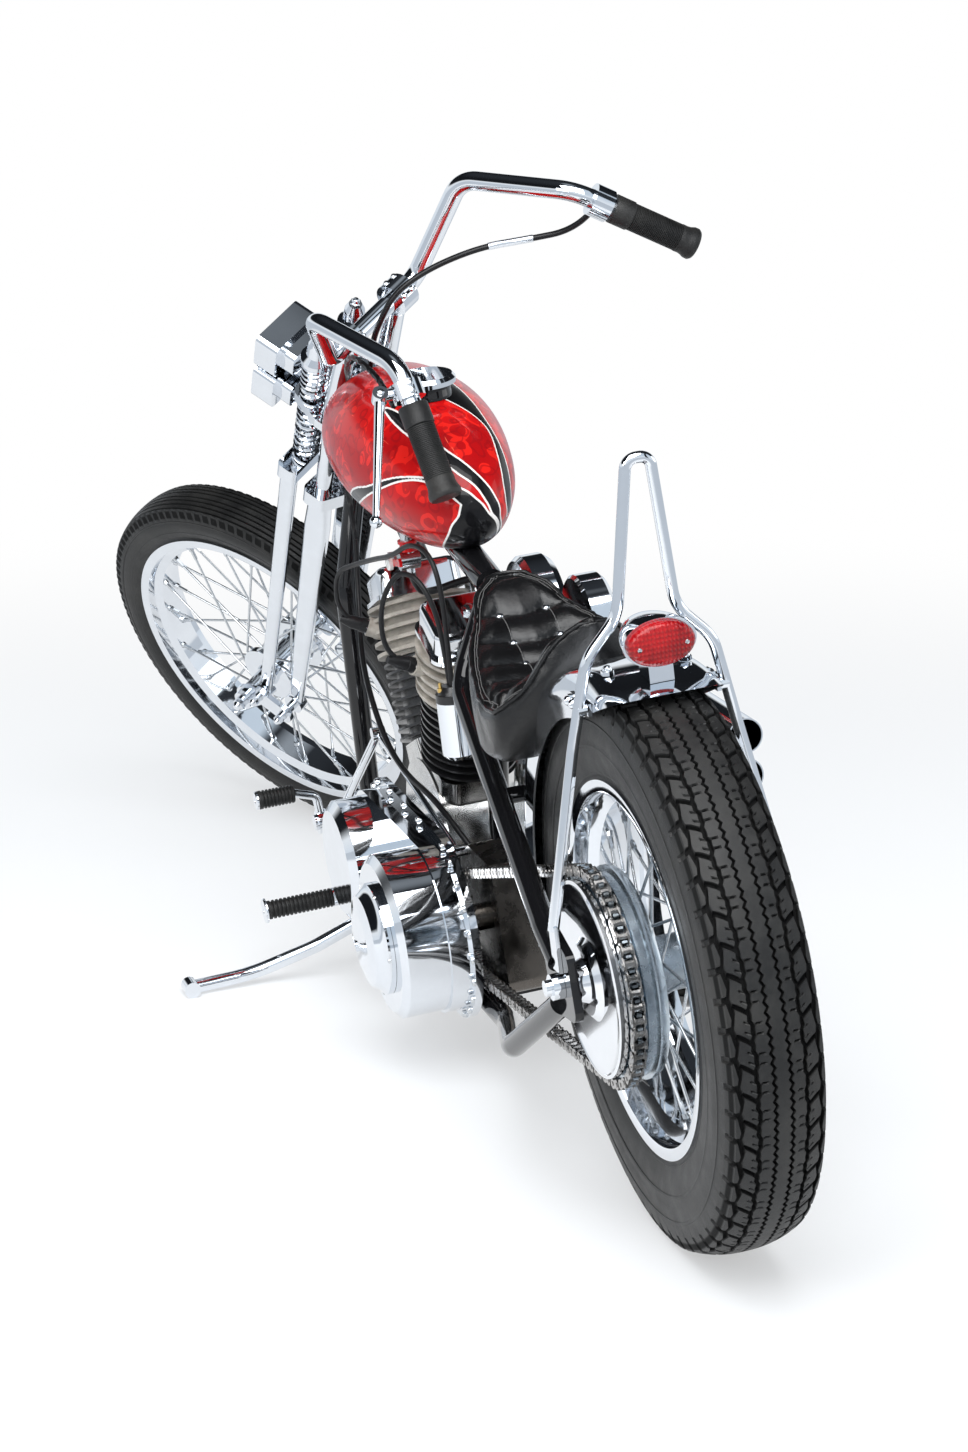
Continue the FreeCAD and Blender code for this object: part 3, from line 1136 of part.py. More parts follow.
def above_ground(x, y, height):
    """The point over (x, y) that stands this high above the ground."""
    return Vector(x, y, (ground + height - up.x * x - up.y * y) / up.z)


stand_foot = above_ground(966, 388, pad_r)
stand = fused([rod(stand_pivot - stand_axis * 16, stand_pivot + stand_axis * 16, 15),
               tube([stand_pivot, above_ground(985, 205, 48), above_ground(985, 300, 16), stand_foot],
                    [120, 200], 9.5)])
pad = rod(stand_foot - Vector(14, 0, 0), stand_foot + Vector(14, 0, 0), pad_r)
add("side_stand", stand.fuse(pad).cut(rod(stand_pivot - stand_axis * 30, stand_pivot + stand_axis * 30,
                                          6 + gap)),
    "side_stand")
stand_place = Placement(stand_pivot, Rotation(Z, stand_axis))
rail_side = rail_y(stand_pivot.x) + tube_r
lug_deep = stand_pivot.y - rail_side + 5
yoke = fused([Part.makeCylinder(6, 44, Vector(0, 0, -22)), box((-14, -lug_deep, 16 + gap), (14, 0, 22)),
              Part.makeCylinder(14, 6 - gap, Vector(0, 0, 16 + gap)),
              box((-14, -lug_deep, -22), (14, 0, -16 - gap)),
              Part.makeCylinder(14, 6 - gap, Vector(0, 0, -22)),
              box((-14, -lug_deep, -22), (14, 6 - lug_deep, 22))])
yoke.Placement = stand_place
add("frame", fused([frame, yoke]))

peg_x, peg_z = 1012.0, 134.0
peg_r = size("peg_radius")
rail_way = (Vector(600, rail_y(600), rail_z) - Vector(1165, rail_y(1165), rail_z)).normalize()
rail_at = Vector(peg_x, rail_y(peg_x), rail_z)
clamp = fused([rod(rail_at - rail_way * 12, rail_at + rail_way * 12, tube_r + 7),
               rod(rail_at, (peg_x, 160, peg_z), 11), rod((peg_x, 150, peg_z), (peg_x, 168, peg_z), 13)])
clamp = clamp.cut(downtube_room)
clamp = max(clamp.Solids, key=lambda s: s.Volume)
controls = [clamp, mirrored(clamp)]
pegs = [fused([rod((peg_x, s * (168 + gap), peg_z), (peg_x, s * 262, peg_z), peg_r),
               rod((peg_x, s * 261, peg_z), (peg_x, s * 267, peg_z), peg_r + 5)]) for s in (1, -1)]
add("foot_controls", Part.makeCompound(controls))

# Toe pedal for the gears on the left and for the brake on the right, on the downtubes.
pivot_z, toe_x, toe_z = 212.0, 1100.0, 264.0
pivot_at = Vector(1112, 104, pivot_z)
hold = fused([rod((1165, 62, pivot_z - 12), (1165, 62, pivot_z + 12), tube_r + 7),
              rod((1165, 62, pivot_z), pivot_at, 9), rod(pivot_at, (1112, 158, pivot_z), 11),
              rod((1112, 140, pivot_z), (1112, 154, pivot_z), 17),
              tube([(1112, 147, pivot_z), (1106, 152, pivot_z + 40), (toe_x, 184, toe_z)], [12], 6)])
hold = hold.cut(downtube_room)
hold = max(hold.Solids, key=lambda s: s.Volume)
toe = rod((toe_x, 184 + gap, toe_z), (toe_x, 240, toe_z), peg_r).cut(hold)
add("toe_pedals", both_sides(hold))
add("peg_rubbers", Part.makeCompound(pegs + [toe, mirrored(toe)]))

# Gear linkage: a flat strap up from the pedal's pivot, and a rod back to the gearbox.
strap_low, joint_at, rod_end = Vector(1108, 116, 226), Vector(967, 84, 366), Vector(650, 72, 286)
strap_way = (joint_at - strap_low).normalize()
linkage = fused([rod(strap_low + strap_way * 4, joint_at, 6), rod(joint_at - Y * 9, joint_at + Y * 9, 9),
                 rod(joint_at, rod_end, 4), rod(rod_end - Y * 9.7, rod_end + Y * 6, 8)])
linkage = linkage.cut(hold)
add("gear_linkage", max(linkage.Solids, key=lambda s: s.Volume))

# ---------------------------------------------------------------------------------------
# Placing: everything is set down together and the box's centre comes over the origin
# ---------------------------------------------------------------------------------------
doc.recompute()
for group, place in (("frame", rest), ("side_stand", rest), ("fork", rest.multiply(fork_rest)),
                     ("front_wheel", rest.multiply(fork_rest))):
    for piece in pieces[group]:
        piece.Placement = place.multiply(piece.Placement)
doc.recompute()

everything = [piece for group in pieces.values() for piece in group]
bounds = FreeCAD.BoundBox()
for piece in everything:
    bounds.add(piece.Shape.optimalBoundingBox(False, False))
shift = Vector(-bounds.Center.x, -bounds.Center.y, 0)
for piece in everything:
    piece.Placement = Placement(shift, Rotation()).multiply(piece.Placement)
doc.recompute()
print("size %.1f x %.1f x %.1f, lowest %.3f, shift %.3f %.3f" % (bounds.XLength, bounds.YLength,
                                                                 bounds.ZLength,
                                                                 bounds.ZMin, shift.x, shift.y))
rest = Placement(shift, Rotation()).multiply(rest)
print("steer axis at", rest.multVec(steer_axis_at), "way", rest.Rotation.multVec(steer_way))
print("rear axle at", rest.multVec(rear_axle), "way", rest.Rotation.multVec(Y))
front_centre = rest.multiply(fork_rest)
print("front axle at", front_centre.multVec(Vector(0, 0, 0)), "way", front_centre.Rotation.multVec(Y))
print("stand at", rest.multVec(stand_pivot), "way", rest.Rotation.multVec(stand_axis))
print("rest matrix", rest.toMatrix())
for label, route in (("upper_pipe_end", rear_route), ("lower_pipe_end", front_route)):
    start = rounded_wire(route[-3:], [200]).Edges[-1].Vertexes[0].Point
    print("mount", label, *(start + route[-1]).multiply(0.5), *(route[-1] - route[-2]).normalize(), pipe_r,
          round((route[-1] - start).Length, 4))

for thing in doc.Objects:
    if "Invalid" in thing.State or "Error" in thing.State:
        raise RuntimeError("%s failed: %s" % (thing.Label, thing.State))
os.makedirs("parts", exist_ok=True)
for piece in everything:
    if piece.Shape.isNull() or not piece.Shape.isValid():
        raise RuntimeError("%s has no valid shape" % piece.Label)
    piece.Shape.exportStep("parts/%s.step" % piece.Label)
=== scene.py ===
import json
import math

import bmesh
import bpy
import numpy as np
from mathutils import Matrix, Vector
from mathutils.bvhtree import BVHTree


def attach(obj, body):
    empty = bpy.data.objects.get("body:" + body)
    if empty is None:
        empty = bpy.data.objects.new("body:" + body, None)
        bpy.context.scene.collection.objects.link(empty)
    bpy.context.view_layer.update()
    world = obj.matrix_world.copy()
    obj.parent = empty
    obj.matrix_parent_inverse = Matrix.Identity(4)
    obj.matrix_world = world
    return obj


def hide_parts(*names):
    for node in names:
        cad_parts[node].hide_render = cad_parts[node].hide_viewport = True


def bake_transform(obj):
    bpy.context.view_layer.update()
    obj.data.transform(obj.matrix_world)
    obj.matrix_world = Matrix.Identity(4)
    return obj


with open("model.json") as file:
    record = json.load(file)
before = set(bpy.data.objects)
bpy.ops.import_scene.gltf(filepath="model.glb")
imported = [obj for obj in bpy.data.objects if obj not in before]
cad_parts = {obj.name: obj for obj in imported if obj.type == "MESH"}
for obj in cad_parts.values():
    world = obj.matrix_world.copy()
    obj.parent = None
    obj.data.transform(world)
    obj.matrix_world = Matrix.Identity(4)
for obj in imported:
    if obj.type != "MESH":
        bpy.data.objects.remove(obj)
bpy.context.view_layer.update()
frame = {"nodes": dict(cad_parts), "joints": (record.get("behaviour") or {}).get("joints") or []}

# ---- Where the motorcycle stands -----------------------------------------------------
# It leans on its side stand with the handlebar turned to the left. Its pieces are drawn
# upright in millimetres, the front end in the fork's own axes, and are then set down here.
joints = {joint["name"]: joint for joint in frame["joints"]}
rear_axle, axle_way = (Vector(joints["rear_wheel_spin"][key]) for key in ("pos_m", "axis"))
ahead = Vector((-axle_way.z, 0.0, axle_way.x)).normalized()
lean = Matrix((ahead, axle_way, ahead.cross(axle_way))).transposed()
upright_axle = Vector((0.0, 0.0, 0.330))
bike = Matrix.Translation(rear_axle - lean @ upright_axle) @ lean.to_4x4()
front_axle, front_way = (Vector(joints["front_wheel_spin"][key]) for key in ("pos_m", "axis"))
steer_way = Vector(joints["steering"]["axis"])
turned = Matrix((front_way.cross(steer_way), front_way, steer_way)).transposed()
fork = Matrix.Translation(front_axle) @ turned.to_4x4()
wheel = {"rear_wheel": Matrix.Translation(rear_axle) @ lean.to_4x4(), "front_wheel": fork}
place = {"frame": bike, "fork": fork, "side_stand": bike, **wheel}

# ---- Studio: a white floor, soft lamps and the camera ---------------------------------
# The room that plated metal mirrors is pale behind the motorcycle, with two dark posts. To
# its front and sides it is white near the floor and dark from there to almost overhead,
# and the floor's far part is light grey to mirrors alone.
def link_up(thing):
    bpy.context.scene.collection.objects.link(thing)
    return thing


def pointing(at, way, axis="Z", up="Y"):
    """A place whose own axis points along a way."""
    return Matrix.Translation(at) @ way.to_track_quat(axis, up).to_matrix().to_4x4()


camera = bpy.data.objects.new("camera", bpy.data.cameras.new("camera"))
camera.data.sensor_fit = "VERTICAL"
camera.data.sensor_height = 36.0
camera.data.lens = 91.08
camera.matrix_world = Matrix(((-0.282632, 0.248264, -0.926544, -4.49271),
                              (-0.959225, -0.070765, 0.273640, 1.28664),
                              (0.002369, 0.966104, 0.258142, 1.64115),
                              (0, 0, 0, 1)))
bpy.context.scene.camera = link_up(camera)
bpy.context.scene.view_settings.view_transform = "Standard"


class Wire:
    """The output of a shader node, which Python's own signs add, multiply and compare."""

    def __init__(self, paint, socket):
        self.paint = paint
        self.socket = socket

    def math(self, operation, *values):
        sockets = dict(enumerate((self, *values)))
        return self.paint.node("Math", {"operation": operation}, sockets)

    def __add__(self, other):
        return self.math("ADD", other)

    __radd__ = __add__

    def __sub__(self, other):
        return self.math("SUBTRACT", other)

    def __rsub__(self, other):
        return (self * -1.0) + other

    def __mul__(self, other):
        return self.math("MULTIPLY", other)

    __rmul__ = __mul__

    def __gt__(self, other):
        return self.math("GREATER_THAN", other)

    def __lt__(self, other):
        return self.math("LESS_THAN", other)

    def smooth(self, low, high):
        """0 below low, 1 above high and an S-shaped ramp between them."""
        settings = {"interpolation_type": "SMOOTHSTEP"}
        return self.paint.node("MapRange", settings, {0: self, 1: low, 2: high})

    def scaled(self, low, high, new_low, new_high):
        return self.paint.node("MapRange", {}, {0: self, 1: low, 2: high, 3: new_low, 4: new_high})


class Paint:
    """A finish: a material and the nodes that it is mixed from."""

    def __init__(self, name, world=False):
        self.owner = bpy.data.worlds.new(name) if world else bpy.data.materials.new(name)
        self.owner.use_nodes = True
        self.tree = self.owner.node_tree
        self.tree.nodes.clear()

    def node(self, kind, settings=None, sockets=None, out=0):
        """One node: its settings first, then the values or wires of its sockets."""
        node = self.tree.nodes.new("ShaderNode" + kind)
        for key, value in (settings or {}).items():
            if key == "stops":
                while len(node.color_ramp.elements) < len(value):
                    node.color_ramp.elements.new(0.5)
                for element, (at, colour) in zip(node.color_ramp.elements, value):
                    element.position = at
                    element.color = (*colour, 1.0)
            else:
                setattr(node, key, value)
        for key, value in (sockets or {}).items():
            if isinstance(value, Wire):
                self.tree.links.new(value.socket, node.inputs[key])
            else:
                node.inputs[key].default_value = value
        return Wire(self, node.outputs[out])

    def here(self):
        return self.node("TexCoord", out="Object")

    def measured(self, body):
        """x, y and z in millimetres along a body's own axes."""
        back = place[body].inverted()
        here = self.here()
        reach = [self.node("VectorMath", {"operation": "DOT_PRODUCT"}, {0: here, 1: row[:3]}, out="Value")
                 for row in back[:3]]
        return [value * 1000.0 + row[3] * 1000.0 for value, row in zip(reach, back)]

    def noise(self, scale, detail=3.0, rough=0.5):
        sockets = {"Vector": self.here(), "Scale": scale, "Detail": detail, "Roughness": rough}
        return self.node("TexNoise", {}, sockets)

    def blend(self, factor, first, second):
        """A colour mix; first and second are colours or wires."""
        first, second = ((*c, 1.0) if isinstance(c, tuple) else c for c in (first, second))
        return self.node("Mix", {"data_type": "RGBA"}, {0: factor, 6: first, 7: second}, out=2)

    def output(self, shader, kind="Material"):
        end = self.tree.nodes.new("ShaderNodeOutput" + kind)
        self.tree.links.new(shader.socket, end.inputs["Surface"])
        return self.owner

    def finish(self, height=None, depth=0.001, **sockets):
        """The shader itself: its sockets by name, and a height wire for its bump."""
        named = {key.replace("_", " "): value for key, value in sockets.items()}
        if isinstance(named["Base Color"], tuple):
            named["Base Color"] = (*named["Base Color"], 1.0)
        if height is not None:
            named["Normal"] = self.node("Bump", {}, {"Distance": depth, "Height": height})
        return self.output(self.node("BsdfPrincipled", {}, named))


room = Paint("room", world=True)
eye = room.node("LightPath", out="Is Camera Ray")
glossy, through = (room.node("LightPath", out=kind) for kind in ("Is Glossy Ray", "Is Transmission Ray"))
mirror = glossy.math("MAXIMUM", through)
way = room.node("TexCoord", out="Generated")
east, north, rise = (room.node("SeparateXYZ", {}, {0: way}, out=i) for i in range(3))
wave = (north * 2.3).math("SINE") * 0.03
dark_walls = [(0.0, (0.78, 0.85, 0.92)), (0.20, (0.95, 0.98, 1.0)), (0.29, (0.012, 0.014, 0.017)),
              (0.60, (0.010, 0.011, 0.013)), (0.97, (0.030, 0.034, 0.040)), (1.0, (0.30, 0.33, 0.36))]
walls = room.node("ValToRGB", {"stops": dark_walls}, {0: rise + wave})
ahead_of = (east + north * 0.1).smooth(-0.38, -0.22)
behind = room.blend(rise.smooth(0.0, 0.5), (0.90, 0.95, 1.0), (0.66, 0.75, 0.84))
post = (north + 0.55).math("ABSOLUTE").smooth(0.06, 0.08) * (north - 0.72).math("ABSOLUTE").smooth(0.05, 0.07)
behind = room.blend(post, (0.03, 0.034, 0.04), behind)
walls = room.blend(ahead_of, behind, walls)
plain = room.node("Background", {}, {"Color": (0.94, 0.97, 1.0, 1.0), "Strength": 0.55})
shown = room.node("Background", {}, {"Color": walls, "Strength": 1.0})
white = room.node("Background", {}, {"Color": (1.0, 1.0, 1.0, 1.0), "Strength": 1.0})
seen = room.node("MixShader", {}, {0: mirror, 1: plain, 2: shown})
seen = room.node("MixShader", {}, {0: eye, 1: seen, 2: white})
bpy.context.scene.world = room.output(seen, "World")

FLOOR = 60.0
floor_mesh = bpy.data.meshes.new("floor")
floor_mesh.from_pydata([(-FLOOR, -FLOOR, 0), (FLOOR, -FLOOR, 0), (FLOOR, FLOOR, 0), (-FLOOR, FLOOR, 0)],
                       [], [(0, 1, 2, 3)])
floor = link_up(bpy.data.objects.new("floor", floor_mesh))
sweep = Paint("floor_white")
eye = sweep.node("LightPath", out="Is Camera Ray")
mirror = sweep.node("LightPath", out="Is Glossy Ray")
away = sweep.node("VectorMath", {"operation": "LENGTH"}, {0: sweep.here()}, out="Value")
far, edge = away.smooth(1.2, 3.2), away.smooth(1.5, 2.3)
matt = sweep.node("BsdfDiffuse", {}, {"Color": (0.90, 0.93, 0.96, 1.0)})
shade = sweep.blend(edge * mirror, (1.0, 1.0, 1.0), (0.60, 0.65, 0.71))
glow = sweep.node("Emission", {}, {"Color": shade, "Strength": 1.0})
lift = (eye * far.scaled(0.0, 1.0, 0.48, 1.0)).math("MAXIMUM", mirror * edge.scaled(0.0, 1.0, 0.55, 0.97))
floor_mesh.materials.append(sweep.output(sweep.node("MixShader", {}, {0: lift, 1: matt, 2: glow})))

LAMPS = (("ceiling_lamp", (-1.9, 0.7, 3.0), (0, 0, 0.4), (2.6, 2.6), 120.0),
         ("left_lamp", (-2.2, 2.8, 1.9), (0, 0, 0.5), (1.8, 1.4), 34.0),
         ("right_lamp", (-0.8, -3.0, 1.6), (0, 0, 0.5), (1.8, 1.4), 12.0))
for name, at, aim, size, power in LAMPS:
    lamp = link_up(bpy.data.objects.new(name, bpy.data.lights.new(name, "AREA")))
    lamp.data.shape = "RECTANGLE"
    lamp.data.size, lamp.data.size_y = size
    lamp.data.energy = power
    lamp.matrix_world = pointing(at, Vector(aim) - Vector(at), "-Z")


# ---- Wheels: tyres with moulded tread on plated rims -----------------------------------
# The rear tyre has a centre rib between saw-toothed grooves, blocks beside it and lugs on
# its shoulders; the front one is a ribbed tyre. One pitch of tread is drawn and repeated.
CREASE = 34  # degrees; a sharper edge than this stays sharp


def drawn(name, points, faces):
    """A mesh from its corners and faces."""
    mesh = bpy.data.meshes.new(name)
    mesh.from_pydata([tuple(p) for p in points], [], faces)
    return mesh


def tidy_mesh(mesh, crease=CREASE):
    """Merges doubles, points the faces outwards and shades all but the creases smoothly."""
    work = bmesh.new()
    work.from_mesh(mesh)
    bmesh.ops.remove_doubles(work, verts=work.verts, dist=0.004)
    bmesh.ops.recalc_face_normals(work, faces=work.faces)
    work.to_mesh(mesh)
    work.free()
    mesh.shade_smooth()
    mesh.set_sharp_from_angle(angle=math.radians(crease))
    return mesh


def mount(name, mesh, body, finish, replaces=(), slot=None, crease=CREASE):
    """Sets a mesh drawn in millimetres down in its body's place and fixes it there."""
    tidy_mesh(mesh, crease)
    mesh.transform(place[body] @ Matrix.Scale(0.001, 4))
    mesh.materials.clear()
    mesh.materials.append(finish)
    thing = link_up(bpy.data.objects.new(name, mesh))
    if replaces:
        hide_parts(*replaces)
    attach(thing, body)
    return thing


def spread_tree():
    """Geometry nodes: one unit on every spot, with the spot's own turn and size."""
    tree = bpy.data.node_groups.new("spread", "GeometryNodeTree")
    for name, kind in (("Spots", "Geometry"), ("Unit", "Object"), ("Size", "Float"), ("Finish", "Material")):
        tree.interface.new_socket(name, in_out="INPUT", socket_type="NodeSocket" + kind)
    tree.interface.new_socket("Pieces", in_out="OUTPUT", socket_type="NodeSocketGeometry")
    given, made = tree.nodes.new("NodeGroupInput"), tree.nodes.new("NodeGroupOutput")
    unit = tree.nodes.new("GeometryNodeObjectInfo")
    turns = tree.nodes.new("GeometryNodeInputNamedAttribute")
    sizes = tree.nodes.new("GeometryNodeInputNamedAttribute")
    for node, name in ((turns, "turn"), (sizes, "size")):
        node.data_type = "FLOAT_VECTOR"
        node.inputs["Name"].default_value = name
    scale = tree.nodes.new("ShaderNodeVectorMath")
    scale.operation = "SCALE"
    onto = tree.nodes.new("GeometryNodeInstanceOnPoints")
    real = tree.nodes.new("GeometryNodeRealizeInstances")
    paint = tree.nodes.new("GeometryNodeSetMaterial")
    links = ((given.outputs["Spots"], onto.inputs["Points"]),
             (given.outputs["Unit"], unit.inputs["Object"]),
             (unit.outputs["Geometry"], onto.inputs["Instance"]),
             (turns.outputs["Attribute"], onto.inputs["Rotation"]),
             (sizes.outputs["Attribute"], scale.inputs[0]),
             (given.outputs["Size"], scale.inputs["Scale"]),
             (scale.outputs[0], onto.inputs["Scale"]),
             (onto.outputs[0], real.inputs[0]),
             (real.outputs[0], paint.inputs[0]),
             (given.outputs["Finish"], paint.inputs["Material"]),
             (paint.outputs[0], made.inputs[0]))
    for start, end in links:
        tree.links.new(start, end)
    return tree


spread = spread_tree()


def worked(thing):
    """The plain mesh that an object's modifiers make; the object itself is removed."""
    mesh = bpy.data.meshes.new_from_object(thing.evaluated_get(bpy.context.evaluated_depsgraph_get()))
    bpy.data.objects.remove(thing)
    return mesh


def through_nodes(base, values):
    """The plain mesh that the spread makes of a base mesh; values are given by socket name."""
    holder = link_up(bpy.data.objects.new("holder", base))
    nodes = holder.modifiers.new("nodes", "NODES")
    nodes.node_group = spread
    inputs = [item for item in spread.interface.items_tree if item.in_out == "INPUT"]
    sockets = {item.name: item.identifier for item in inputs}
    for name, value in values.items():
        nodes[sockets[name]] = value
    bpy.context.view_layer.update()
    return worked(holder)


def repeated(name, unit, spots, body, finish, size=1.0, **fixing):
    """A unit mesh set on each spot, a matrix in millimetres in the body's own axes."""
    base = drawn(name + "_spots", [spot.translation for spot in spots], [])
    for label, read in (("turn", lambda m: m.to_euler()), ("size", lambda m: m.to_scale())):
        row = base.attributes.new(label, "FLOAT_VECTOR", "POINT")
        row.data.foreach_set("vector", [v for spot in spots for v in read(spot)])
    one = link_up(bpy.data.objects.new(name + "_unit", unit))
    mesh = through_nodes(base, {"Unit": one, "Size": size, "Finish": finish})
    bpy.data.objects.remove(one)
    return mount(name, mesh, body, finish, **fixing)


def strip_mesh(name, columns, rows, angle, crown):
    """One pitch of tyre: columns of (y, r, slant) at each row, closed round the section."""
    points, faces, sunk = [], [], []
    across = len(columns(0))
    for row in range(rows + 1):
        for y, r, slant in columns(row):
            a = angle * (row / rows + slant)
            points.append((r * math.sin(a), y, r * math.cos(a)))
            # Depth below the crown in the tread; the rubber paints shade into the grooves from it.
            sunk.append(max(0.0, crown(y) - r) if r > crown(y) - 7.5 else 0.0)
    for row in range(rows):
        for i in range(across):
            j = (i + 1) % across
            a, b = row * across, (row + 1) * across
            faces.append((a + i, a + j, b + j, b + i))
    strip = drawn(name, points, faces)
    strip.attributes.new("sunk", "FLOAT", "POINT").data.foreach_set("value", sunk)
    return strip


def saw(t):
    """A zigzag between 0.5 and -0.5, once in each whole t."""
    return abs((t % 1.0) - 0.5) * 2.0 - 0.5


def rear_crown(y):
    """The rear tread's radius, y from its middle."""
    return 205.5 + 124.5 * (1 - 0.13 * (abs(y) / 60.0) ** 2.3)


def front_crown(y):
    """The front tread's radius, y from its middle."""
    return 244.5 + 71.5 * (1 - 0.13 * (abs(y) / 40.0) ** 2.3)


REAR_PITCHES, REAR_ROWS = 62, 18
FRONT_PITCHES, FRONT_ROWS = 110, 6
GROOVE = 6.2


def rear_columns(row):
    """The rear tyre's section at one row of the pitch, from the left bead to the right."""
    def half_section(u, sign):
        zig = 3.4 * saw(3 * u)
        zag = 2.8 * saw(u) + 1.6 * saw(3 * u + 0.5)
        edge = 3.0 * saw(u + 0.55)
        cut = 0.05 <= u < 0.17
        lug_cut = 0.50 <= u < 0.67
        nick = 3.0 if 0.38 <= u < 0.40 or 0.72 <= u < 0.73 else 0.0
        out = [(0.0, rear_crown(0), 0.0)]
        # Each point: y, its depth below the crown and its slant round the wheel.
        slot = GROOVE if cut else 0
        rib = ((3.0, 0, 0), (7.4 + zig, 0, 0), (8.0 + zig, GROOVE, 0), (10.8 + zig, GROOVE, 0),
               (11.4 + zig, 0, 0))
        blocks = ((15.5, 0, 0), (17.5, nick, 0), (21.5, nick, 0), (24.4 + zag, 0, 0), (25.1 + zag, 6.4, 0),
                  (28.7 + zag, 6.4, 0), (29.6 + zag, 6 if cut else 0, 0.0),
                  (33.2, GROOVE if cut else nick, 0.08),
                  (35.0, slot, 0.12), (38.5, slot, 0.19), (42.4 + edge, slot, 0.25))
        lugs = ((43.2 + edge, 6.0, 0), (46.4 + edge, 6.0, 0), (47.2 + edge, 5.5 if lug_cut else 0, 0.0),
                (50.4, 5.0 if lug_cut else 0, -0.03))
        for y, depth, slant in rib + blocks + lugs:
            out.append((y, rear_crown(y) - depth, slant))
        for y, r, depth in ((52.8, 313.5, 4.4), (55.2, 306.5, 3.4), (56.6, 302.5, 0.6), (58.0, 292.0, 0)):
            out.append((y - (depth * 0.5 if lug_cut else 0), r - (depth if lug_cut else 0), -0.05))
        wall = ((58.6, 287.5), (59.4, 286.8), (59.5, 284.2), (58.9, 283.6), (59.9, 275.5), (59.8, 266.0),
                (59.2, 258.0), (59.5, 257.3), (58.9, 254.8), (58.1, 254.2), (57.4, 244.0), (54.6, 232.0),
                (51.6, 224.0), (51.9, 222.6), (50.0, 219.5), (49.7, 206.0))
        out += [(y, r, 0) for y, r in wall]
        return [(sign * y, r, slant) for y, r, slant in out]
    u = row / REAR_ROWS
    left, right = half_section(u % 1.0, 1), half_section((u + 0.5) % 1.0, -1)
    return list(reversed(left)) + right[1:]


def front_columns(row):
    """The front tyre's ribbed section; a short cut in each outer rib marks the pitch."""
    out = [(0.0, front_crown(0), 0.0)]
    for middle in (5.2, 13.0, 20.8, 28.4):
        for y, depth in ((middle - 1.5, 0), (middle - 0.8, 4.0), (middle + 0.8, 4.0), (middle + 1.5, 0)):
            out.append((y, front_crown(y) - depth, 0.0))
    nick = 1.6 if row in (1, 2) else 0.0
    wall = ((31.4, front_crown(31.4) - nick), (34.8, 302.0 - nick), (37.2, 297.0 - nick), (37.7, 293.5),
            (38.6, 292.9), (38.8, 291.0), (38.2, 290.4), (39.9, 284.6), (39.6, 278.0), (38.9, 273.6),
            (39.2, 272.9), (38.7, 271.2), (37.8, 266.0), (36.0, 262.0), (34.4, 259.0), (33.9, 245.0))
    out += [(y, r, 0) for y, r in wall]
    return [(y, r, s) for y, r, s in reversed(out)] + [(-y, r, s) for y, r, s in out[1:]]


def ring_spots(count):
    """Evenly turned about the wheel's axle."""
    return [Matrix.Rotation(2 * math.pi * i / count, 4, "Y") for i in range(count)]


def tyre_rubber():
    paint = Paint("tyre_rubber")
    spots = paint.noise(38.0, 5.0, 0.62)
    fine = paint.noise(900.0, 3.0, 0.6)
    dust = paint.noise(9.0, 4.0, 0.6).smooth(0.48, 0.72)
    colour = paint.blend(spots.smooth(0.35, 0.75), (0.011, 0.0112, 0.0115), (0.022, 0.022, 0.0215))
    colour = paint.blend(dust * 0.25, colour, (0.060, 0.057, 0.052))
    # Groove bottoms are painted near-black by their depth: painted shade in the grooves. They are also made
    # rougher.
    sunk = paint.node("Attribute", {"attribute_name": "sunk"}, out="Fac").smooth(0.8, 3.0)
    colour = paint.blend(sunk, colour, (0.0012, 0.0012, 0.0012))
    rough = spots.scaled(0.3, 0.7, 0.36, 0.52) + sunk * 0.45
    return paint.finish(fine, 0.0004, Base_Color=colour, Roughness=rough, Specular_IOR_Level=0.3)


rubber = tyre_rubber()
rear_pitch = strip_mesh("pitch", rear_columns, REAR_ROWS, 2 * math.pi / REAR_PITCHES, rear_crown)
repeated("rear_tyre_tread", rear_pitch, ring_spots(REAR_PITCHES), "rear_wheel", rubber,
         replaces=("rear_tyre",), slot="tyre", crease=28)
front_pitch = strip_mesh("rib_pitch", front_columns, FRONT_ROWS, 2 * math.pi / FRONT_PITCHES, front_crown)
repeated("front_tyre_tread", front_pitch, ring_spots(FRONT_PITCHES), "front_wheel", rubber,
         replaces=("front_tyre",), slot="tyre", crease=28)


# ---- Rims, spokes and hubs -------------------------------------------------------------
# Rolled steel rims and laced steel spokes, all plated, with a six-sided nipple on each
# spoke where it meets the rim.
PLATE = (0.80, 0.83, 0.87)


def plated(name, tint=PLATE, rough=0.045):
    """Bright plate: clean metal with faint wiping marks and a slightly uneven shine."""
    paint = Paint(name)
    haze = paint.noise(26.0, 5.0, 0.6)
    wiped = paint.noise(420.0, 3.0, 0.7)
    dim = paint.blend(haze.smooth(0.40, 0.75), tuple(c * 0.96 for c in tint), tint)
    shine = haze.scaled(0.3, 0.7, rough * 0.6, rough * 1.6)
    return paint.finish(wiped, 0.0000036, Base_Color=dim, Metallic=1.0, Roughness=shine)


def coat(node, material):
    """A CAD piece's finish, shaded smoothly except over creases."""
    thing = frame["nodes"][node]
    thing.data.materials.clear()
    thing.data.materials.append(material)
    thing.data.shade_smooth()
    weld = thing.modifiers.new("weld", "WELD")
    weld.merge_threshold = 0.00002
    split = thing.modifiers.new("creases", "EDGE_SPLIT")
    split.split_angle = math.radians(CREASE)


chrome = plated("chrome_plate")
bright_steel = plated("bright_steel", (0.66, 0.68, 0.70), 0.16)


def ring(radius, z, sides):
    """Evenly spaced points of a circle round Z."""
    turns = [2 * math.pi * i / sides for i in range(sides)]
    return [(radius * math.cos(turn), radius * math.sin(turn), z) for turn in turns]


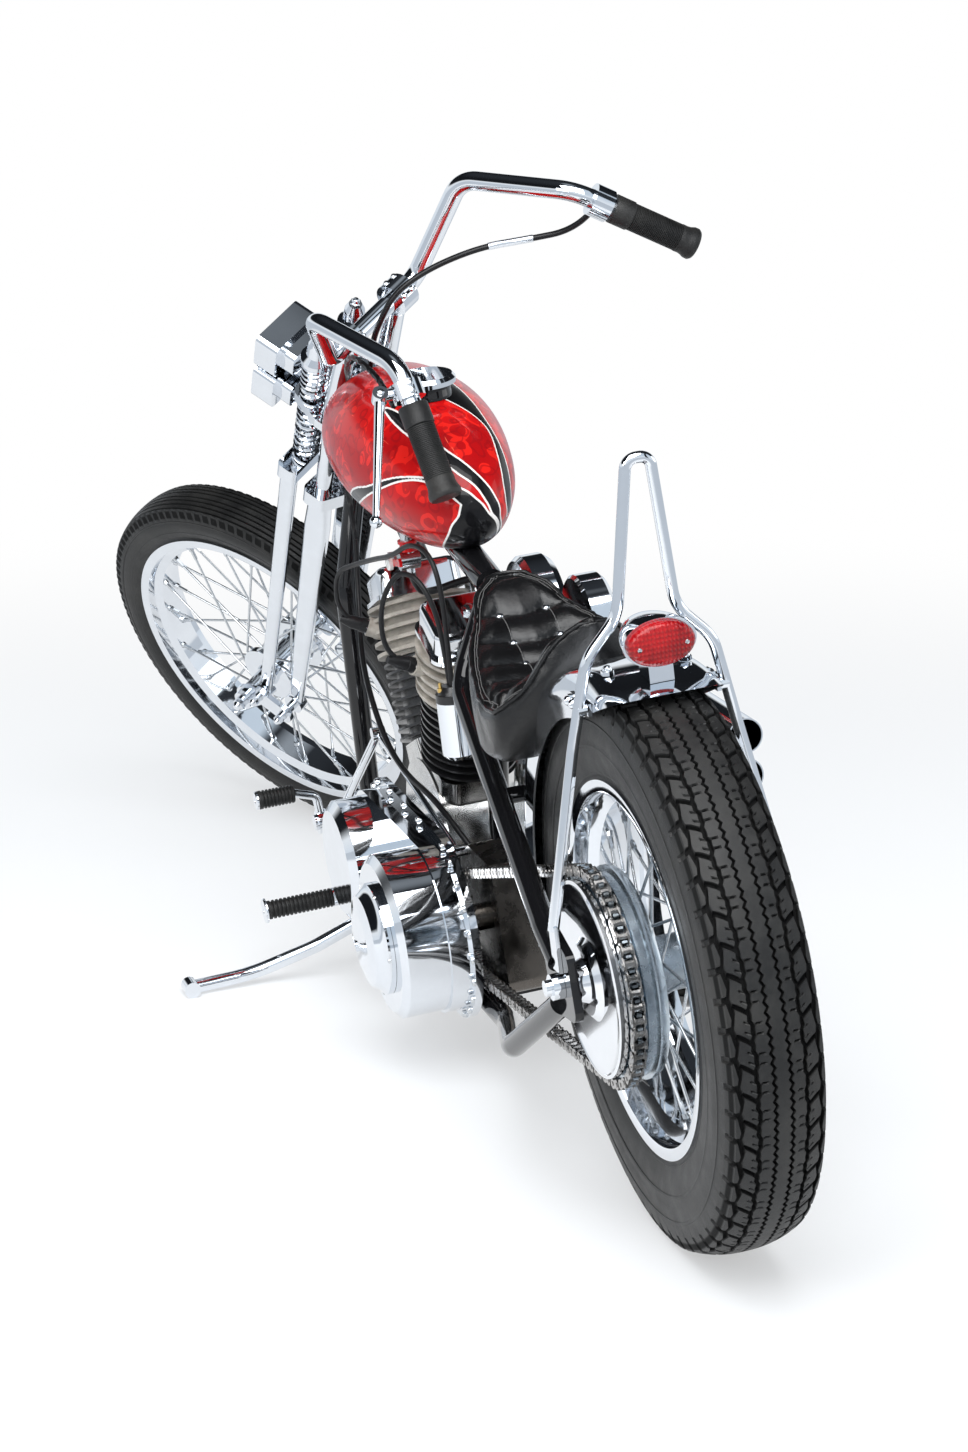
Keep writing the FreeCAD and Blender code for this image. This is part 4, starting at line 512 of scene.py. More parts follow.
def prism(sides, radius, low, high, top=None):
    """An upright bar of flat sides along +Z; top is its radius at the end, where it differs."""
    points = []
    for z, r in ((low, radius), (high, top if top is not None else radius)):
        points += ring(r, z, sides)
    faces = [tuple(reversed(range(sides))), tuple(range(sides, 2 * sides))]
    faces += [(i, (i + 1) % sides, sides + (i + 1) % sides, sides + i) for i in range(sides)]
    return points, faces


def joined(name, parts):
    """One mesh from several (points, faces) pairs."""
    points, faces = [], []
    for more, loops in parts:
        faces += [tuple(i + len(points) for i in loop) for loop in loops]
        points += [tuple(p) for p in more]
    return drawn(name, points, faces)


SPOKES, CROSSING, STAGGER = 40, 50.0, 3.0


def nipple_spots(hub_radius, hub_y, rim_radius, rim_y):
    """At each spoke's outer end, pointing along the spoke."""
    spots = []
    for side in (1, -1):
        for i in range(SPOKES // 2):
            base = 720.0 * i / SPOKES + (360.0 / SPOKES if side < 0 else 0.0)
            low, high = math.radians(base + (CROSSING if i % 2 else -CROSSING)), math.radians(base)
            shift = STAGGER if i % 2 else -STAGGER
            start = Vector((hub_radius * math.sin(low), side * (hub_y + shift), hub_radius * math.cos(low)))
            end = Vector((rim_radius * math.sin(high), side * (rim_y + shift), rim_radius * math.cos(high)))
            spots.append(pointing(end, end - start))
    return spots


nipple = joined("nipple", [prism(6, 3.1, -19, -3), prism(8, 4.2, -4, 2, 5.0)])
for end, lacing in (("rear", (45.2, 39.5, 187.5, 12.0)), ("front", (47.2, 37.0, 226.7, 10.0))):
    repeated(end + "_nipples", nipple.copy(), nipple_spots(*lacing), end + "_wheel", bright_steel,
             slot="spoke_steel")
    coat(end + "_rim", chrome)
    coat(end + "_spokes", bright_steel)
for node in ("front_hub", "front_axle", "rear_axle"):
    coat(node, chrome)

# ---- Rear drive: drum and sprocket, brake plate and roller chain -----------------------
# The chain is laid link by link on the pins' own path round both sprockets, wide outer
# plates on every second link and narrow ones with rollers between them.
alloy = plated("polished_alloy", (0.84, 0.86, 0.89), 0.07)
steel = plated("chain_steel", (0.34, 0.33, 0.32), 0.24)
zinc = plated("zinc_drum", (0.50, 0.56, 0.61), 0.22)
coat("rear_hub", zinc)
coat("brake_plate", alloy)
coat("gearbox_sprocket", steel)

PITCH, LINKS = 15.875, 114
WHEEL_TEETH, GEARBOX_TEETH = 48, 24
WHEEL_HUB, GEARBOX_HUB = (0.0, 330.0), (603.8, 209.4)
CHAIN_LINE = 87.0
hubs = Vector(WHEEL_HUB), Vector(GEARBOX_HUB)
run = hubs[1] - hubs[0]
wide, narrow = (PITCH / (2 * math.sin(math.pi / teeth)) for teeth in (WHEEL_TEETH, GEARBOX_TEETH))
tilt = math.asin((wide - narrow) / run.length)
top_turn, low_turn = (math.atan2(run.y, run.x) + way * (math.pi / 2 - tilt) for way in (1, -1))
straight = run.length * math.cos(tilt) / PITCH
wide_wrap = WHEEL_TEETH * (0.5 + tilt / math.pi)
narrow_wrap = GEARBOX_TEETH * (0.5 - tilt / math.pi)


def pin_at(s):
    """The pin s links along: round the wheel, forward below, round the gearbox, back above."""
    def on(hub, radius, turn):
        return hub + Vector((math.cos(turn), math.sin(turn))) * radius
    if s < wide_wrap:
        return on(hubs[0], wide, top_turn + 2 * math.pi * s / WHEEL_TEETH)
    s -= wide_wrap
    if s < straight:
        return on(hubs[0], wide, low_turn).lerp(on(hubs[1], narrow, low_turn), s / straight)
    s -= straight
    if s < narrow_wrap:
        return on(hubs[1], narrow, low_turn + 2 * math.pi * s / GEARBOX_TEETH)
    return on(hubs[1], narrow, top_turn).lerp(on(hubs[0], wide, top_turn), (s - narrow_wrap) / straight)


def slab(outline, low, high):
    """A flat plate from its outline (x, z), between two heights along Y."""
    n = len(outline)
    points = [(x, low, z) for x, z in outline] + [(x, high, z) for x, z in outline]
    faces = [tuple(range(n)), tuple(reversed(range(n, 2 * n)))]
    return points, faces + [(i, n + i, n + (i + 1) % n, (i + 1) % n) for i in range(n)]


def moved(part, matrix):
    return [tuple(matrix @ Vector(p)) for p in part[0]], part[1]


def link_plate(end, waist):
    """One side plate: two round ends and a narrower middle."""
    arc = [math.radians(a) for a in range(-110, 111, 44)]
    half = [(PITCH / 2 + end * math.cos(a), end * math.sin(a)) for a in arc] + [(0.0, waist)]
    return half + [(-x, -z) for x, z in half]


def link(name, plate, inside, outside, pin):
    """Two side plates, alike but for the side they stand on, and the bars between them."""
    across = Matrix.Rotation(math.pi / 2, 4, "X")
    bars = [moved(pin, Matrix.Translation((x, 0, 0)) @ across) for x in (-PITCH / 2, PITCH / 2)]
    return joined(name, [slab(plate, inside, outside), slab(plate, -outside, -inside), *bars])


outer = link("outer_link", link_plate(6.6, 4.4), 6.3, 8.0, prism(8, 2.7, -8.7, 8.7))
inner = link("inner_link", link_plate(6.8, 4.6), 4.6, 6.1, prism(10, 5.0, -4.6, 4.6))
laid = []
for i in range(LINKS):
    start, end = pin_at(i), pin_at((i + 1) % LINKS)
    middle, way = (start + end) / 2, end - start
    turned = Matrix.Rotation(-math.atan2(way.y, way.x), 4, "Y")
    laid.append(Matrix.Translation((middle.x, CHAIN_LINE, middle.y)) @ turned)
repeated("chain_outer_links", outer, laid[::2], "frame", steel, replaces=("drive_chain",), slot="chain_steel")
repeated("chain_inner_links", inner, laid[1::2], "frame", steel, slot="chain_steel")

# ---- Frame, stand and foot controls ----------------------------------------------------
# Gloss black tubes; the stand, brackets, rods and pedals are plated. The pegs' rubbers are
# turned with round ribs and capped with a plated disc.
def enamel(name, colour, rough=0.07, coat_weight=1.0):
    """Sprayed paint under clear lacquer, its skin very slightly uneven."""
    paint = Paint(name)
    skin = paint.noise(55.0, 4.0)
    broad = paint.noise(4.0, 2.0).scaled(0.3, 0.7, rough * 0.8, rough * 1.25)
    return paint.finish(skin, 0.00004, Base_Color=colour, Roughness=broad, Specular_IOR_Level=0.2,
                        Coat_Weight=coat_weight * 0.5, Coat_Roughness=0.02)


black = enamel("gloss_black", (0.006, 0.006, 0.007))
coat("frame", black)
for node in ("side_stand", "foot_controls", "toe_pedals", "gear_linkage", "kick_starter"):
    coat(node, chrome)


def lathe(rows, sides=32):
    """A round form about Z from its (radius, height) rows, closed where the radius is 0."""
    points, faces = [], []
    for r, z in rows:
        points += ring(r, z, sides)
    for row in range(len(rows) - 1):
        a, b = row * sides, (row + 1) * sides
        faces += [(a + i, a + (i + 1) % sides, b + (i + 1) % sides, b + i) for i in range(sides)]
    return points, faces


def ribbed(length, radius, ribs, depth, plain):
    """Rows of a rubber sleeve with round ribs between two plain bands."""
    rows = [(0.0, 0.0), (radius - 1, 0.0), (radius, 1.5), (radius, plain)]
    step = (length - 2 * plain) / ribs
    for i in range(ribs):
        low = plain + i * step
        rows += [(radius - depth, low + 0.16 * step), (radius - depth, low + 0.36 * step),
                 (radius, low + 0.52 * step), (radius, low + 0.94 * step)]
    return rows + [(radius, length - plain), (radius, length - 1.5), (radius - 1, length), (0.0, length)]


def along_y(x, y, z, side=1):
    """A spot whose own Z points out to one side of the motorcycle."""
    return Matrix.Translation((x, y, z)) @ Matrix.Rotation(-side * math.pi / 2, 4, "X")


# Foot pegs, then toe pegs: x, the rubber's two ends, z, its ribs and the disc's radius.
PEGS = ((1012.0, 168.5, 262.0, 134.0, 15, 17.5), (1100.0, 184.5, 236.0, 264.0, 9, 13.0))
rubbers, discs = [], []
for x, low, high, z, ribs, width in PEGS:
    for side in (1, -1):
        at = along_y(x, side * low, z, side)
        rubbers.append(moved(lathe(ribbed(high - low, 13.0, ribs, 2.0, 3.5), 24), at))
        rows = [(0.0, 0.0), (width, 0.0), (width, 2.2), (width - 1.2, 3.4), (3.4, 3.8), (3.0, 2.8),
                (0.0, 2.8)]
        discs.append(moved(lathe(rows, 28), at @ Matrix.Translation((0, 0, high - low))))
mount("ribbed_peg_rubbers", joined("pegs", rubbers), "frame", rubber, replaces=("peg_rubbers",),
      slot="grip_rubber")
mount("peg_end_discs", joined("discs", discs), "frame", chrome)

# ---- Engine: blackened barrels, sand-cast heads and plated covers ----------------------
# The barrels' fins are black with bare bright edges and the heads warm grey castings. The
# crankcase is polished, the gearbox a dull dark casting, and the primary and clutch covers
# are plated and held by round-headed screws.
CRANK = Vector((865.8, 0.0, 231.4))
HALF_V = math.radians(22.5)
BARE_FINS = 68.2


def cast_iron(name, tint, dark, edge=None):
    """Sand-cast metal: pitted and uneven, with bare fin edges where a radius is given."""
    paint = Paint(name)
    patch, grain = paint.noise(45.0, 5.0, 0.62), paint.noise(700.0, 4.0, 0.7)
    colour = paint.blend(patch.smooth(0.35, 0.70), dark, tint)
    metal, rough = 0.0, patch.scaled(0.3, 0.7, 0.42, 0.6)
    if edge:
        x, y, z = paint.measured("frame")
        ahead_by, above_by = x - CRANK.x, z - CRANK.z
        angle = ahead_by.math("ABSOLUTE").math("ARCTAN2", above_by) - HALF_V
        reach = (ahead_by * ahead_by + above_by * above_by).math("SQRT")
        side = angle.math("SINE") * reach
        bare = (side * side + y * y).math("SQRT").smooth(edge, edge + 0.5) * (reach > 120.0)
        colour = paint.blend(bare, colour, (0.52, 0.51, 0.49))
        metal, rough = bare * 0.8, bare.scaled(0, 1, 0.3, 0.28)
    return paint.finish(grain, 0.00025, Base_Color=colour, Metallic=metal, Roughness=rough,
                        Coat_Weight=0.35 if edge else 0.0)


heads = cast_iron("cast_heads", (0.46, 0.425, 0.375), (0.29, 0.265, 0.23))
coat("cylinders", cast_iron("black_barrels", (0.012, 0.012, 0.013), (0.007, 0.007, 0.008), BARE_FINS))
coat("cylinder_heads", heads)
coat("crankcase", plated("polished_case", (0.66, 0.655, 0.64), 0.17))
coat("transmission", plated("gearbox_case", (0.17, 0.155, 0.14), 0.22))
for node in ("rocker_boxes", "engine_snout", "carburettor"):
    coat(node, alloy)
for node in ("pushrod_tubes", "primary_cover", "derby_cover", "air_cleaner"):
    coat(node, chrome)

# The primary cover's screws follow its rim: round each end, then along its two straights.
screw = joined("screw", [lathe([(0.0, -1.5), (5.0, -1.5), (5.0, 1.6), (4.2, 3.0), (2.0, 3.8), (0.0, 4.0)],
                               12)])
GEAR_X, GEAR_Z = GEARBOX_HUB
COVER_FACE = 110.5
GEAR_RIM, CRANK_RIM = 116.2, 94.2
round_screws = []
for i in range(22):
    turn = math.radians(i * 360 / 22 + 6)
    at_gear = math.cos(turn) < -0.06
    x, z, r = (GEAR_X, GEAR_Z, GEAR_RIM) if at_gear else (CRANK.x, CRANK.z, CRANK_RIM)
    if abs(math.cos(turn)) > 0.12:
        round_screws.append(along_y(x + r * math.cos(turn), COVER_FACE, z + r * math.sin(turn)))
for share in (0.28, 0.56, 0.84):
    for side in (1, -1):
        a, b = Vector((GEAR_X + 9.7, GEAR_Z + side * 115.8)), Vector((CRANK.x + 7.9, CRANK.z + side * 93.9))
        spot = a.lerp(b, share)
        round_screws.append(along_y(spot.x, COVER_FACE, spot.y))
repeated("primary_screws", screw.copy(), round_screws, "frame", bright_steel)

DERBY_FACE, DERBY_RING = 205.4, 69
derby = [along_y(GEAR_X + DERBY_RING * math.cos(math.radians(a)), DERBY_FACE,
                 GEAR_Z + DERBY_RING * math.sin(math.radians(a))) for a in range(42, 400, 72)]
repeated("derby_screws", screw.copy(), derby, "frame", bright_steel, size=0.72)

CHEST_FACE = -96.4
CHEST_SCREWS = ((56, 60), (104, 30), (108, -22), (66, -44), (10, -62), (-44, -66), (-92, -40), (-100, 10),
                (-62, 48), (6, 60))
chest = [along_y(CRANK.x + x, CHEST_FACE, CRANK.z + z, -1) for x, z in CHEST_SCREWS]
repeated("chest_screws", screw.copy(), chest, "frame", bright_steel)

# Each cylinder stands along its own Z, front and rear; its plug leans out to the left.
cylinder = {side: Matrix.Translation(CRANK) @ Matrix.Rotation(side * HALF_V, 4, "Y") for side in (1, -1)}
plug = {side: [cylinder[side] @ Vector(end) for end in ((0, 40, 286), (0, 76, 304))] for side in (1, -1)}
nuts = []
for side, (start, end) in plug.items():
    nuts += [pointing(end, end - start) @ Matrix.Translation((0, 0, -3)),
             cylinder[side] @ Matrix.Translation((0, 0, 374))]
nut_top = lathe([(0.0, 4.0), (8.0, 4.0), (8.0, 6.4), (4.0, 8.0), (0.0, 8.0)], 16)
repeated("plug_and_cover_nuts", joined("nut", [prism(6, 11.0, -2.0, 5.0), nut_top]), nuts, "frame",
         bright_steel)

# ---- Exhaust pipes and oil tank --------------------------------------------------------
# Two bent steel pipes sweep back along the right side, and a round oil can hangs below the
# saddle's nose. All of them are plated.
for node in ("exhaust_pipes", "oil_tank"):
    coat(node, chrome)


# ---- Ignition coil, leads, fuel tap and hose -------------------------------------------
# The coil's can is plated below a black cap with brass terminals. The tap has a red lever
# and a white round end, and black rubber leads loop from the coil to the plugs.
CAP_FROM, CLAMP_UPTO = 486.0, 622.0


def coil_finish():
    """Plate up to the cap's edge, black above it, and a duller clamp behind the can."""
    paint = Paint("coil_can")
    x, _, z = paint.measured("frame")
    cap = z.smooth(CAP_FROM, CAP_FROM + 0.6)
    clamp = x < CLAMP_UPTO
    colour = paint.blend(cap, PLATE, (0.010, 0.010, 0.011))
    colour = paint.blend(clamp, colour, (0.55, 0.56, 0.58))
    return paint.finish(Base_Color=colour, Metallic=1.0 - cap * (1.0 - clamp),
                        Roughness=cap.scaled(0, 1, 0.06, 0.3))


coat("ignition_coil", coil_finish())
lead_rubber = enamel("lead_rubber", (0.012, 0.012, 0.013), 0.42, 0.1)
red_dye = enamel("red_anodised", (0.55, 0.010, 0.012), 0.2)
white_plastic = enamel("white_plastic", (0.80, 0.80, 0.78), 0.3)
brass = plated("brass", (0.62, 0.42, 0.14), 0.2)
coat("petcock", bright_steel)

TAP_X, TAP_Z = 795, 640
lever = slab([(-8, -3), (10, -5), (26, -4), (40, -6), (44, -1), (42, 5), (26, 4), (10, 5), (-8, 4)], 0.0, 4.0)
lever_at = Matrix.Translation((TAP_X, 72.6, TAP_Z)) @ Matrix.Rotation(math.radians(-170), 4, "Y")
mount("fuel_tap_lever", joined("lever", [moved(lever, lever_at)]), "frame", red_dye)
knob = lathe([(0.0, 0.0), (9.5, 0.0), (10.0, 1.0), (10.0, 5.0), (9.0, 6.0), (3.4, 6.2), (3.0, 5.2),
              (0.0, 5.2)], 28)
mount("fuel_tap_end", joined("knob", [moved(knob, along_y(TAP_X, 76.4, TAP_Z))]), "frame", white_plastic)
collar = lathe([(0.0, 0.0), (13.0, 0.0), (13.0, 4.0), (11.0, 5.0), (11.0, 9.0), (13.0, 10.0), (13.0, 14.0),
                (0.0, 14.0)], 24)
collar = moved(collar, Matrix.Translation((TAP_X, 52, TAP_Z + 12)))
mount("fuel_tap_collar", joined("collar", [collar]), "frame", red_dye)

studs = []
for y in (70, 42):
    at = Matrix.Translation((645, y, 500.5))
    studs += [moved(prism(6, 4.4, 0, 5), at), moved(prism(10, 2.2, 4, 12), at)]
mount("coil_terminals", joined("studs", studs), "frame", brass)


def route(name, points, body, radius, finish, bends=False):
    """A cord on one smooth spline; a point may name its own body. One that bends is a mesh."""
    line = bpy.data.curves.new(name, "CURVE")
    line.dimensions = "3D"
    run = line.splines.new("NURBS")
    run.points.add(len(points) - 1)
    for knot, point in zip(run.points, points):
        home, at = (point[0], point[1:]) if isinstance(point[0], str) else (body, point)
        knot.co = (*(place[home] @ (Vector(at) * 0.001)), 1.0)
    run.order_u = 3
    run.use_endpoint_u = True
    line.resolution_u = 12
    cable = link_up(bpy.data.objects.new(name, line))
    bare = bpy.data.meshes.new_from_object(cable)
    along = [vertex.co for vertex in bare.vertices]
    line.bevel_depth = radius * 0.001
    line.bevel_resolution = 3
    line.use_fill_caps = True
    line.materials.append(finish)
    if bends:
        tube = bpy.data.meshes.new_from_object(cable)
        bpy.data.objects.remove(cable)
        cable = link_up(bpy.data.objects.new(name, tidy_mesh(tube)))
    return cable, along


LEADS = {"rear_plug_lead": (-1, (727, 117, 600), (702, 96, 650), (672, 76, 648), (654, 62, 608),
                            (652, 57, 558),
                            (650, 56, 507.3)),
         "front_plug_lead": (1, (960, 116, 600), (900, 100, 620), (830, 90, 640), (762, 84, 656),
                             (704, 70, 684),
                             (658, 58, 676), (640, 54, 630), (639, 55, 565), (640, 56, 507.3))}
BOOT = [(0.0, 0.0), (10.5, 0.0), (10.5, 9.0), (9.4, 10.0), (9.0, 22.0), (6.2, 33.0), (4.6, 38.0), (0.0, 38.0)]
HOSE = ((TAP_X, 52, 621.7), (804, 44, 592), (842, 12, 580), (864, -34, 582), (868, -78, 580),
        (868, -95, 543.7))
boots, cords = [], []
for name, (side, *points) in LEADS.items():
    start, end = plug[side]
    way = (end - start).normalized()
    foot = end + way * 0.3
    cords.append(route(name, [tuple(foot), tuple(end + way * 40), *points], "frame", 3.5, lead_rubber)[0])
    boots.append(moved(lathe(BOOT, 20), pointing(foot, way)))
mount("plug_boots", joined("boots", boots), "frame", lead_rubber)
cords.append(route("fuel_hose", HOSE, "frame", 5.0, lead_rubber)[0])
for cord in cords:
    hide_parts("cables")
    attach(cord, "frame")

# ---- Fuel tank: candy red with black scallops ------------------------------------------
# A teardrop of smooth ovals over the backbone. Black scallops edged with white pinstripes
# run from its sides and cap to its tail, and faint rings and scrolls lie in the red.
def flow(rows, count):
    """A smooth run of count rows through the given ones, evenly spaced along it."""
    p = np.array(rows, float)
    t = np.concatenate(([0.0], np.cumsum(np.linalg.norm(np.diff(p, axis=0), axis=1))))
    slope = np.gradient(p, t, axis=0)
    at = np.linspace(0.0, t[-1], count)
    i = np.clip(np.searchsorted(t, at, "right") - 1, 0, len(t) - 2)
    h = (t[i + 1] - t[i])[:, None]
    u = (at - t[i])[:, None] / h
    return ((2 * u**3 - 3 * u**2 + 1) * p[i] + (u**3 - 2 * u**2 + u) * h * slope[i]
            + (3 * u**2 - 2 * u**3) * p[i + 1] + (u**3 - u**2) * h * slope[i + 1])


# Each oval: x, half its width, half its height and its middle's height.
TANK = ((632, 14, 16, 721), (640, 32, 34, 723), (660, 51, 53, 728), (708, 76, 77, 740), (775, 94, 94, 750),
        (855, 106, 101, 759), (940, 107, 97, 766), (1020, 94, 82, 774), (1076, 64, 56, 782),
        (1096, 34, 30, 786))
ROUND = 180
tank_rows = flow(TANK, 230)


def tank_oval(x):
    return [np.interp(x, tank_rows[:, 0], tank_rows[:, i]) for i in (1, 2, 3)]


def on_tank(x, turn):
    """The tank's skin where it is x forward, turn degrees from the top towards the left."""
    wide, high, middle = tank_oval(x)
    turn = np.radians(turn)
    return np.stack([x + 0 * turn, wide * np.sin(turn), middle + high * np.cos(turn)], -1)


def rounded_line(points):
    """The same line with its corners cut off three times, its ends kept."""
    p = np.array(points, float)
    for _ in range(3):
        a, b = p[:-1] * 0.75 + p[1:] * 0.25, p[:-1] * 0.25 + p[1:] * 0.75
        p = np.concatenate([p[:1], np.stack([a, b], 1).reshape(-1, 2)[1:-1], p[-1:]])
    return p


def inside(points, loop):
    """Which (x, turn) points lie in a closed loop."""
    found = np.zeros(len(points), bool)
    for (x1, y1), (x2, y2) in zip(loop, np.roll(loop, -1, axis=0)):
        spans = (y1 > points[:, 1]) != (y2 > points[:, 1])
        found ^= spans & (points[:, 0] < (x2 - x1) * (points[:, 1] - y1) / (y2 - y1 + 1e-12) + x1)
    return found


# Each scallop is two edges, as (x, turn) points, and the corners that close it out of sight.
left_band = (((822, 34), (796, 29.4), (760, 26), (725, 23), (685, 16.7), (662, 0.9), (646, -21.7), (640, -60),
              (642, -91), (643, -115), (664, -138), (700, -155)),
             ((690, -170), (655, -140), (636, -110.5), (634, -81.7), (635, -23.7), (646, 8.4), (662, 21.3),
              (700, 31), (729, 35.7), (775, 37), (822, 34)))
right_band = (((860, 12), (826, 5), (796, -1.6), (773, -11), (754, -22), (739, -33), (724, -42), (686, -50),
               (662, -64), (656, -78), (654, -95), (662, -115)),
              ((676, -112), (670, -90), (690, -66), (732, -44.5), (790, -34), (833, -27), (860, -22),
               (862, -8),
               (860, 12)))
low_band = (((940, 136), (892, 117), (838, 102), (785, 93.3), (738, 79), (700, 65.6), (677, 54.5), (655, 40),
             (643, 28.6), (635, 5), (632.3, -30), (632.3, -90), (637, -115), (646, -133), (670, -150),
             (700, -166)),
            ((760, 181), (720, 164), (688, 152), (650, 131), (639, 108), (635, 91.5), (634.5, 68), (635, 50)),
            ((635, 50), (642, 48), (655, 50.5), (675, 57), (704, 71), (738, 85), (773, 95.4), (843, 115),
             (940, 140)))
under_tail = [(700, -181), (600, -181), (600, 181)]
edges, black_parts = [], []
for lines, closing in ((left_band, []), (right_band, []), (low_band, under_tail)):
    smooth_lines = [rounded_line(line) for line in lines]
    edges += smooth_lines
    black_parts.append(np.concatenate([smooth_lines[0], np.array(closing).reshape(-1, 2), *smooth_lines[1:]]))
ghosts = [rounded_line(((960, 30), (924, 45), (867, 53.5), (812, 53), (753, 51.5), (719, 51), (686, 50))),
          rounded_line(((850, 14), (809, 4), (772, 4.5), (723, 10), (690, 8), (671, 4)))]


def nearest(points, lines):
    """How far each point of the skin is from the nearest of some lines, in millimetres."""
    share = np.linspace(0, 1, 260)
    finer = [[np.interp(share, np.linspace(0, 1, len(line)), line[:, k]) for k in (0, 1)] for line in lines]
    dense = np.concatenate([on_tank(x, turn) for x, turn in finer])
    return np.array([np.sqrt(((dense - p) ** 2).sum(1).min()) for p in points])


angles = np.linspace(0, 360, ROUND, endpoint=False)
skin = np.concatenate([on_tank(np.full(ROUND, row[0]), angles) for row in tank_rows])
for row in range(len(tank_rows)):
    part = skin[row * ROUND:(row + 1) * ROUND]
    roof = 725.0 + (part[:, 0] - 940.0) * 0.191
    tunnel = (abs(part[:, 1]) < 20) & (part[:, 2] < roof)
    part[tunnel, 2] = roof[tunnel]
faces = [(i * ROUND + j, i * ROUND + (j + 1) % ROUND, (i + 1) * ROUND + (j + 1) % ROUND, (i + 1) * ROUND + j)
         for i in range(len(tank_rows) - 1) for j in range(ROUND)]
faces += [tuple(range(ROUND)), tuple(range((len(tank_rows) - 1) * ROUND, len(tank_rows) * ROUND))]
tank_mesh = drawn("tank", skin, faces)

# The tank's front is cut off square to the steering axle, short of the fork.
TO_NECK = 48.0
neck = bike.inverted() @ Vector(joints["steering"]["pos_m"]) * 1000.0
neck_way = (bike.to_3x3().inverted() @ steer_way).normalized()
front = Vector((neck_way.z, 0.0, -neck_way.x)).normalized()
work = bmesh.new()
work.from_mesh(tank_mesh)
cut = bmesh.ops.bisect_plane(work, geom=work.verts[:] + work.edges[:] + work.faces[:],
                             plane_co=neck - front * TO_NECK, plane_no=front, clear_outer=True)
opening = [e for e in cut["geom_cut"] if isinstance(e, bmesh.types.BMEdge) and e.is_boundary]
bmesh.ops.edgeloop_fill(work, edges=opening)
work.to_mesh(tank_mesh)
work.free()

corners = np.array([v.co for v in tank_mesh.vertices])
wide, high, middle = tank_oval(corners[:, 0])
turns = np.degrees(np.arctan2(corners[:, 1] / wide, (corners[:, 2] - middle) / high))
place_on = np.stack([corners[:, 0], turns], -1)
dark = np.any([inside(place_on, loop) for loop in black_parts], axis=0) | (corners[:, 0] < 632.5)
away = nearest(corners, edges) * np.where(dark, 1.0, -1.0)
ghost = nearest(corners, ghosts)
for key, values in (("scallop", away), ("ghost", ghost)):
    tank_mesh.attributes.new(key, "FLOAT", "POINT").data.foreach_set("value", values.astype(np.float32))


def candy():
    """Deep red lacquer with faint rings and scrolls, black scallops and white lines."""
    paint = Paint("candy_red")
    away = paint.node("Attribute", {"attribute_name": "scallop"}, out="Fac")
    ghost = paint.node("Attribute", {"attribute_name": "ghost"}, out="Fac")
    warp = paint.node("TexNoise", {}, {"Vector": paint.here(), "Scale": 22.0, "Detail": 2.0}, out="Color")
    bent = paint.node("VectorMath", {"operation": "SCALE"}, {0: warp, "Scale": 0.030})
    bent = paint.node("VectorMath", {"operation": "ADD"}, {0: paint.here(), 1: bent})
    cell = paint.node("TexVoronoi", {}, {"Vector": bent, "Scale": 27.0, "Randomness": 0.9}, out="Distance")
    small = paint.node("TexVoronoi", {}, {"Vector": bent, "Scale": 48.0, "Randomness": 1.0}, out="Distance")
    ring = (cell - 0.40).math("ABSOLUTE") < 0.085
    speck = (small - 0.42).math("ABSOLUTE") < 0.07
    wash = paint.noise(7.0, 2.0).smooth(0.42, 0.62)
    red = paint.blend(wash, (0.36, 0.003, 0.0045), (0.53, 0.005, 0.0055))
    red = paint.blend(ring * 0.75, red, (0.74, 0.016, 0.010))
    red = paint.blend(speck * 0.55, red, (0.25, 0.003, 0.006))
    red = paint.blend((ghost < 0.8) * 0.7, red, (0.90, 0.11, 0.06))
    flat = paint.blend(away.smooth(-0.15, 0.15), red, (0.005, 0.005, 0.006))
    line = away.math("ABSOLUTE") < 1.35
    flat = paint.blend(line, flat, (0.82, 0.80, 0.78))
    ripple = paint.noise(24.0, 3.0)
    return paint.finish(ripple, 0.00003, Base_Color=flat, Roughness=0.3, Specular_IOR_Level=0.1,
                        Coat_Weight=0.42, Coat_Roughness=0.015, Coat_IOR=1.4)


mount("scalloped_tank", tank_mesh, "frame", candy(), replaces=("fuel_tank",), slot="candy_red", crease=50)
cap_at = Matrix.Translation((800, 0, 850)) @ Matrix.Rotation(math.radians(-5), 4, "Y")
throat = lathe([(0.0, -4.0), (31.0, -4.0), (31.0, 2.0), (30.4, 3.0), (30.4, 14.0), (0.0, 14.0)], 48)
mount("filler_throat", joined("throat", [moved(throat, cap_at)]), "frame", black)
coat("filler_cap", chrome)

# ---- Rear fender, backrest bar and tail light ------------------------------------------
# Plated sheet over the wheel, held by bolts; a bent bar loops over it, and the oval lamp's
# red lens is ribbed in two directions and held by two screws.
for node in ("rear_fender", "sissy_bar", "tail_light_shell"):
    coat(node, chrome)
dome = lathe([(0.0, 4.0), (5.8, 4.0), (5.4, 7.5), (3.4, 10.0), (0.0, 10.8)], 16)
acorn = joined("acorn", [prism(6, 7.5, 0.0, 5.0), dome])
bolts = []
for side in (1, -1):
    bolts.append(Matrix.Translation((-10, side * 45, 675.5)) @ Matrix.Rotation(math.radians(-2), 4, "Y"))
    bolts += [along_y(x, side * 77.2, 645, side) for x in (8.0, 24.0)]
repeated("fender_nuts", acorn.copy(), bolts, "frame", chrome)


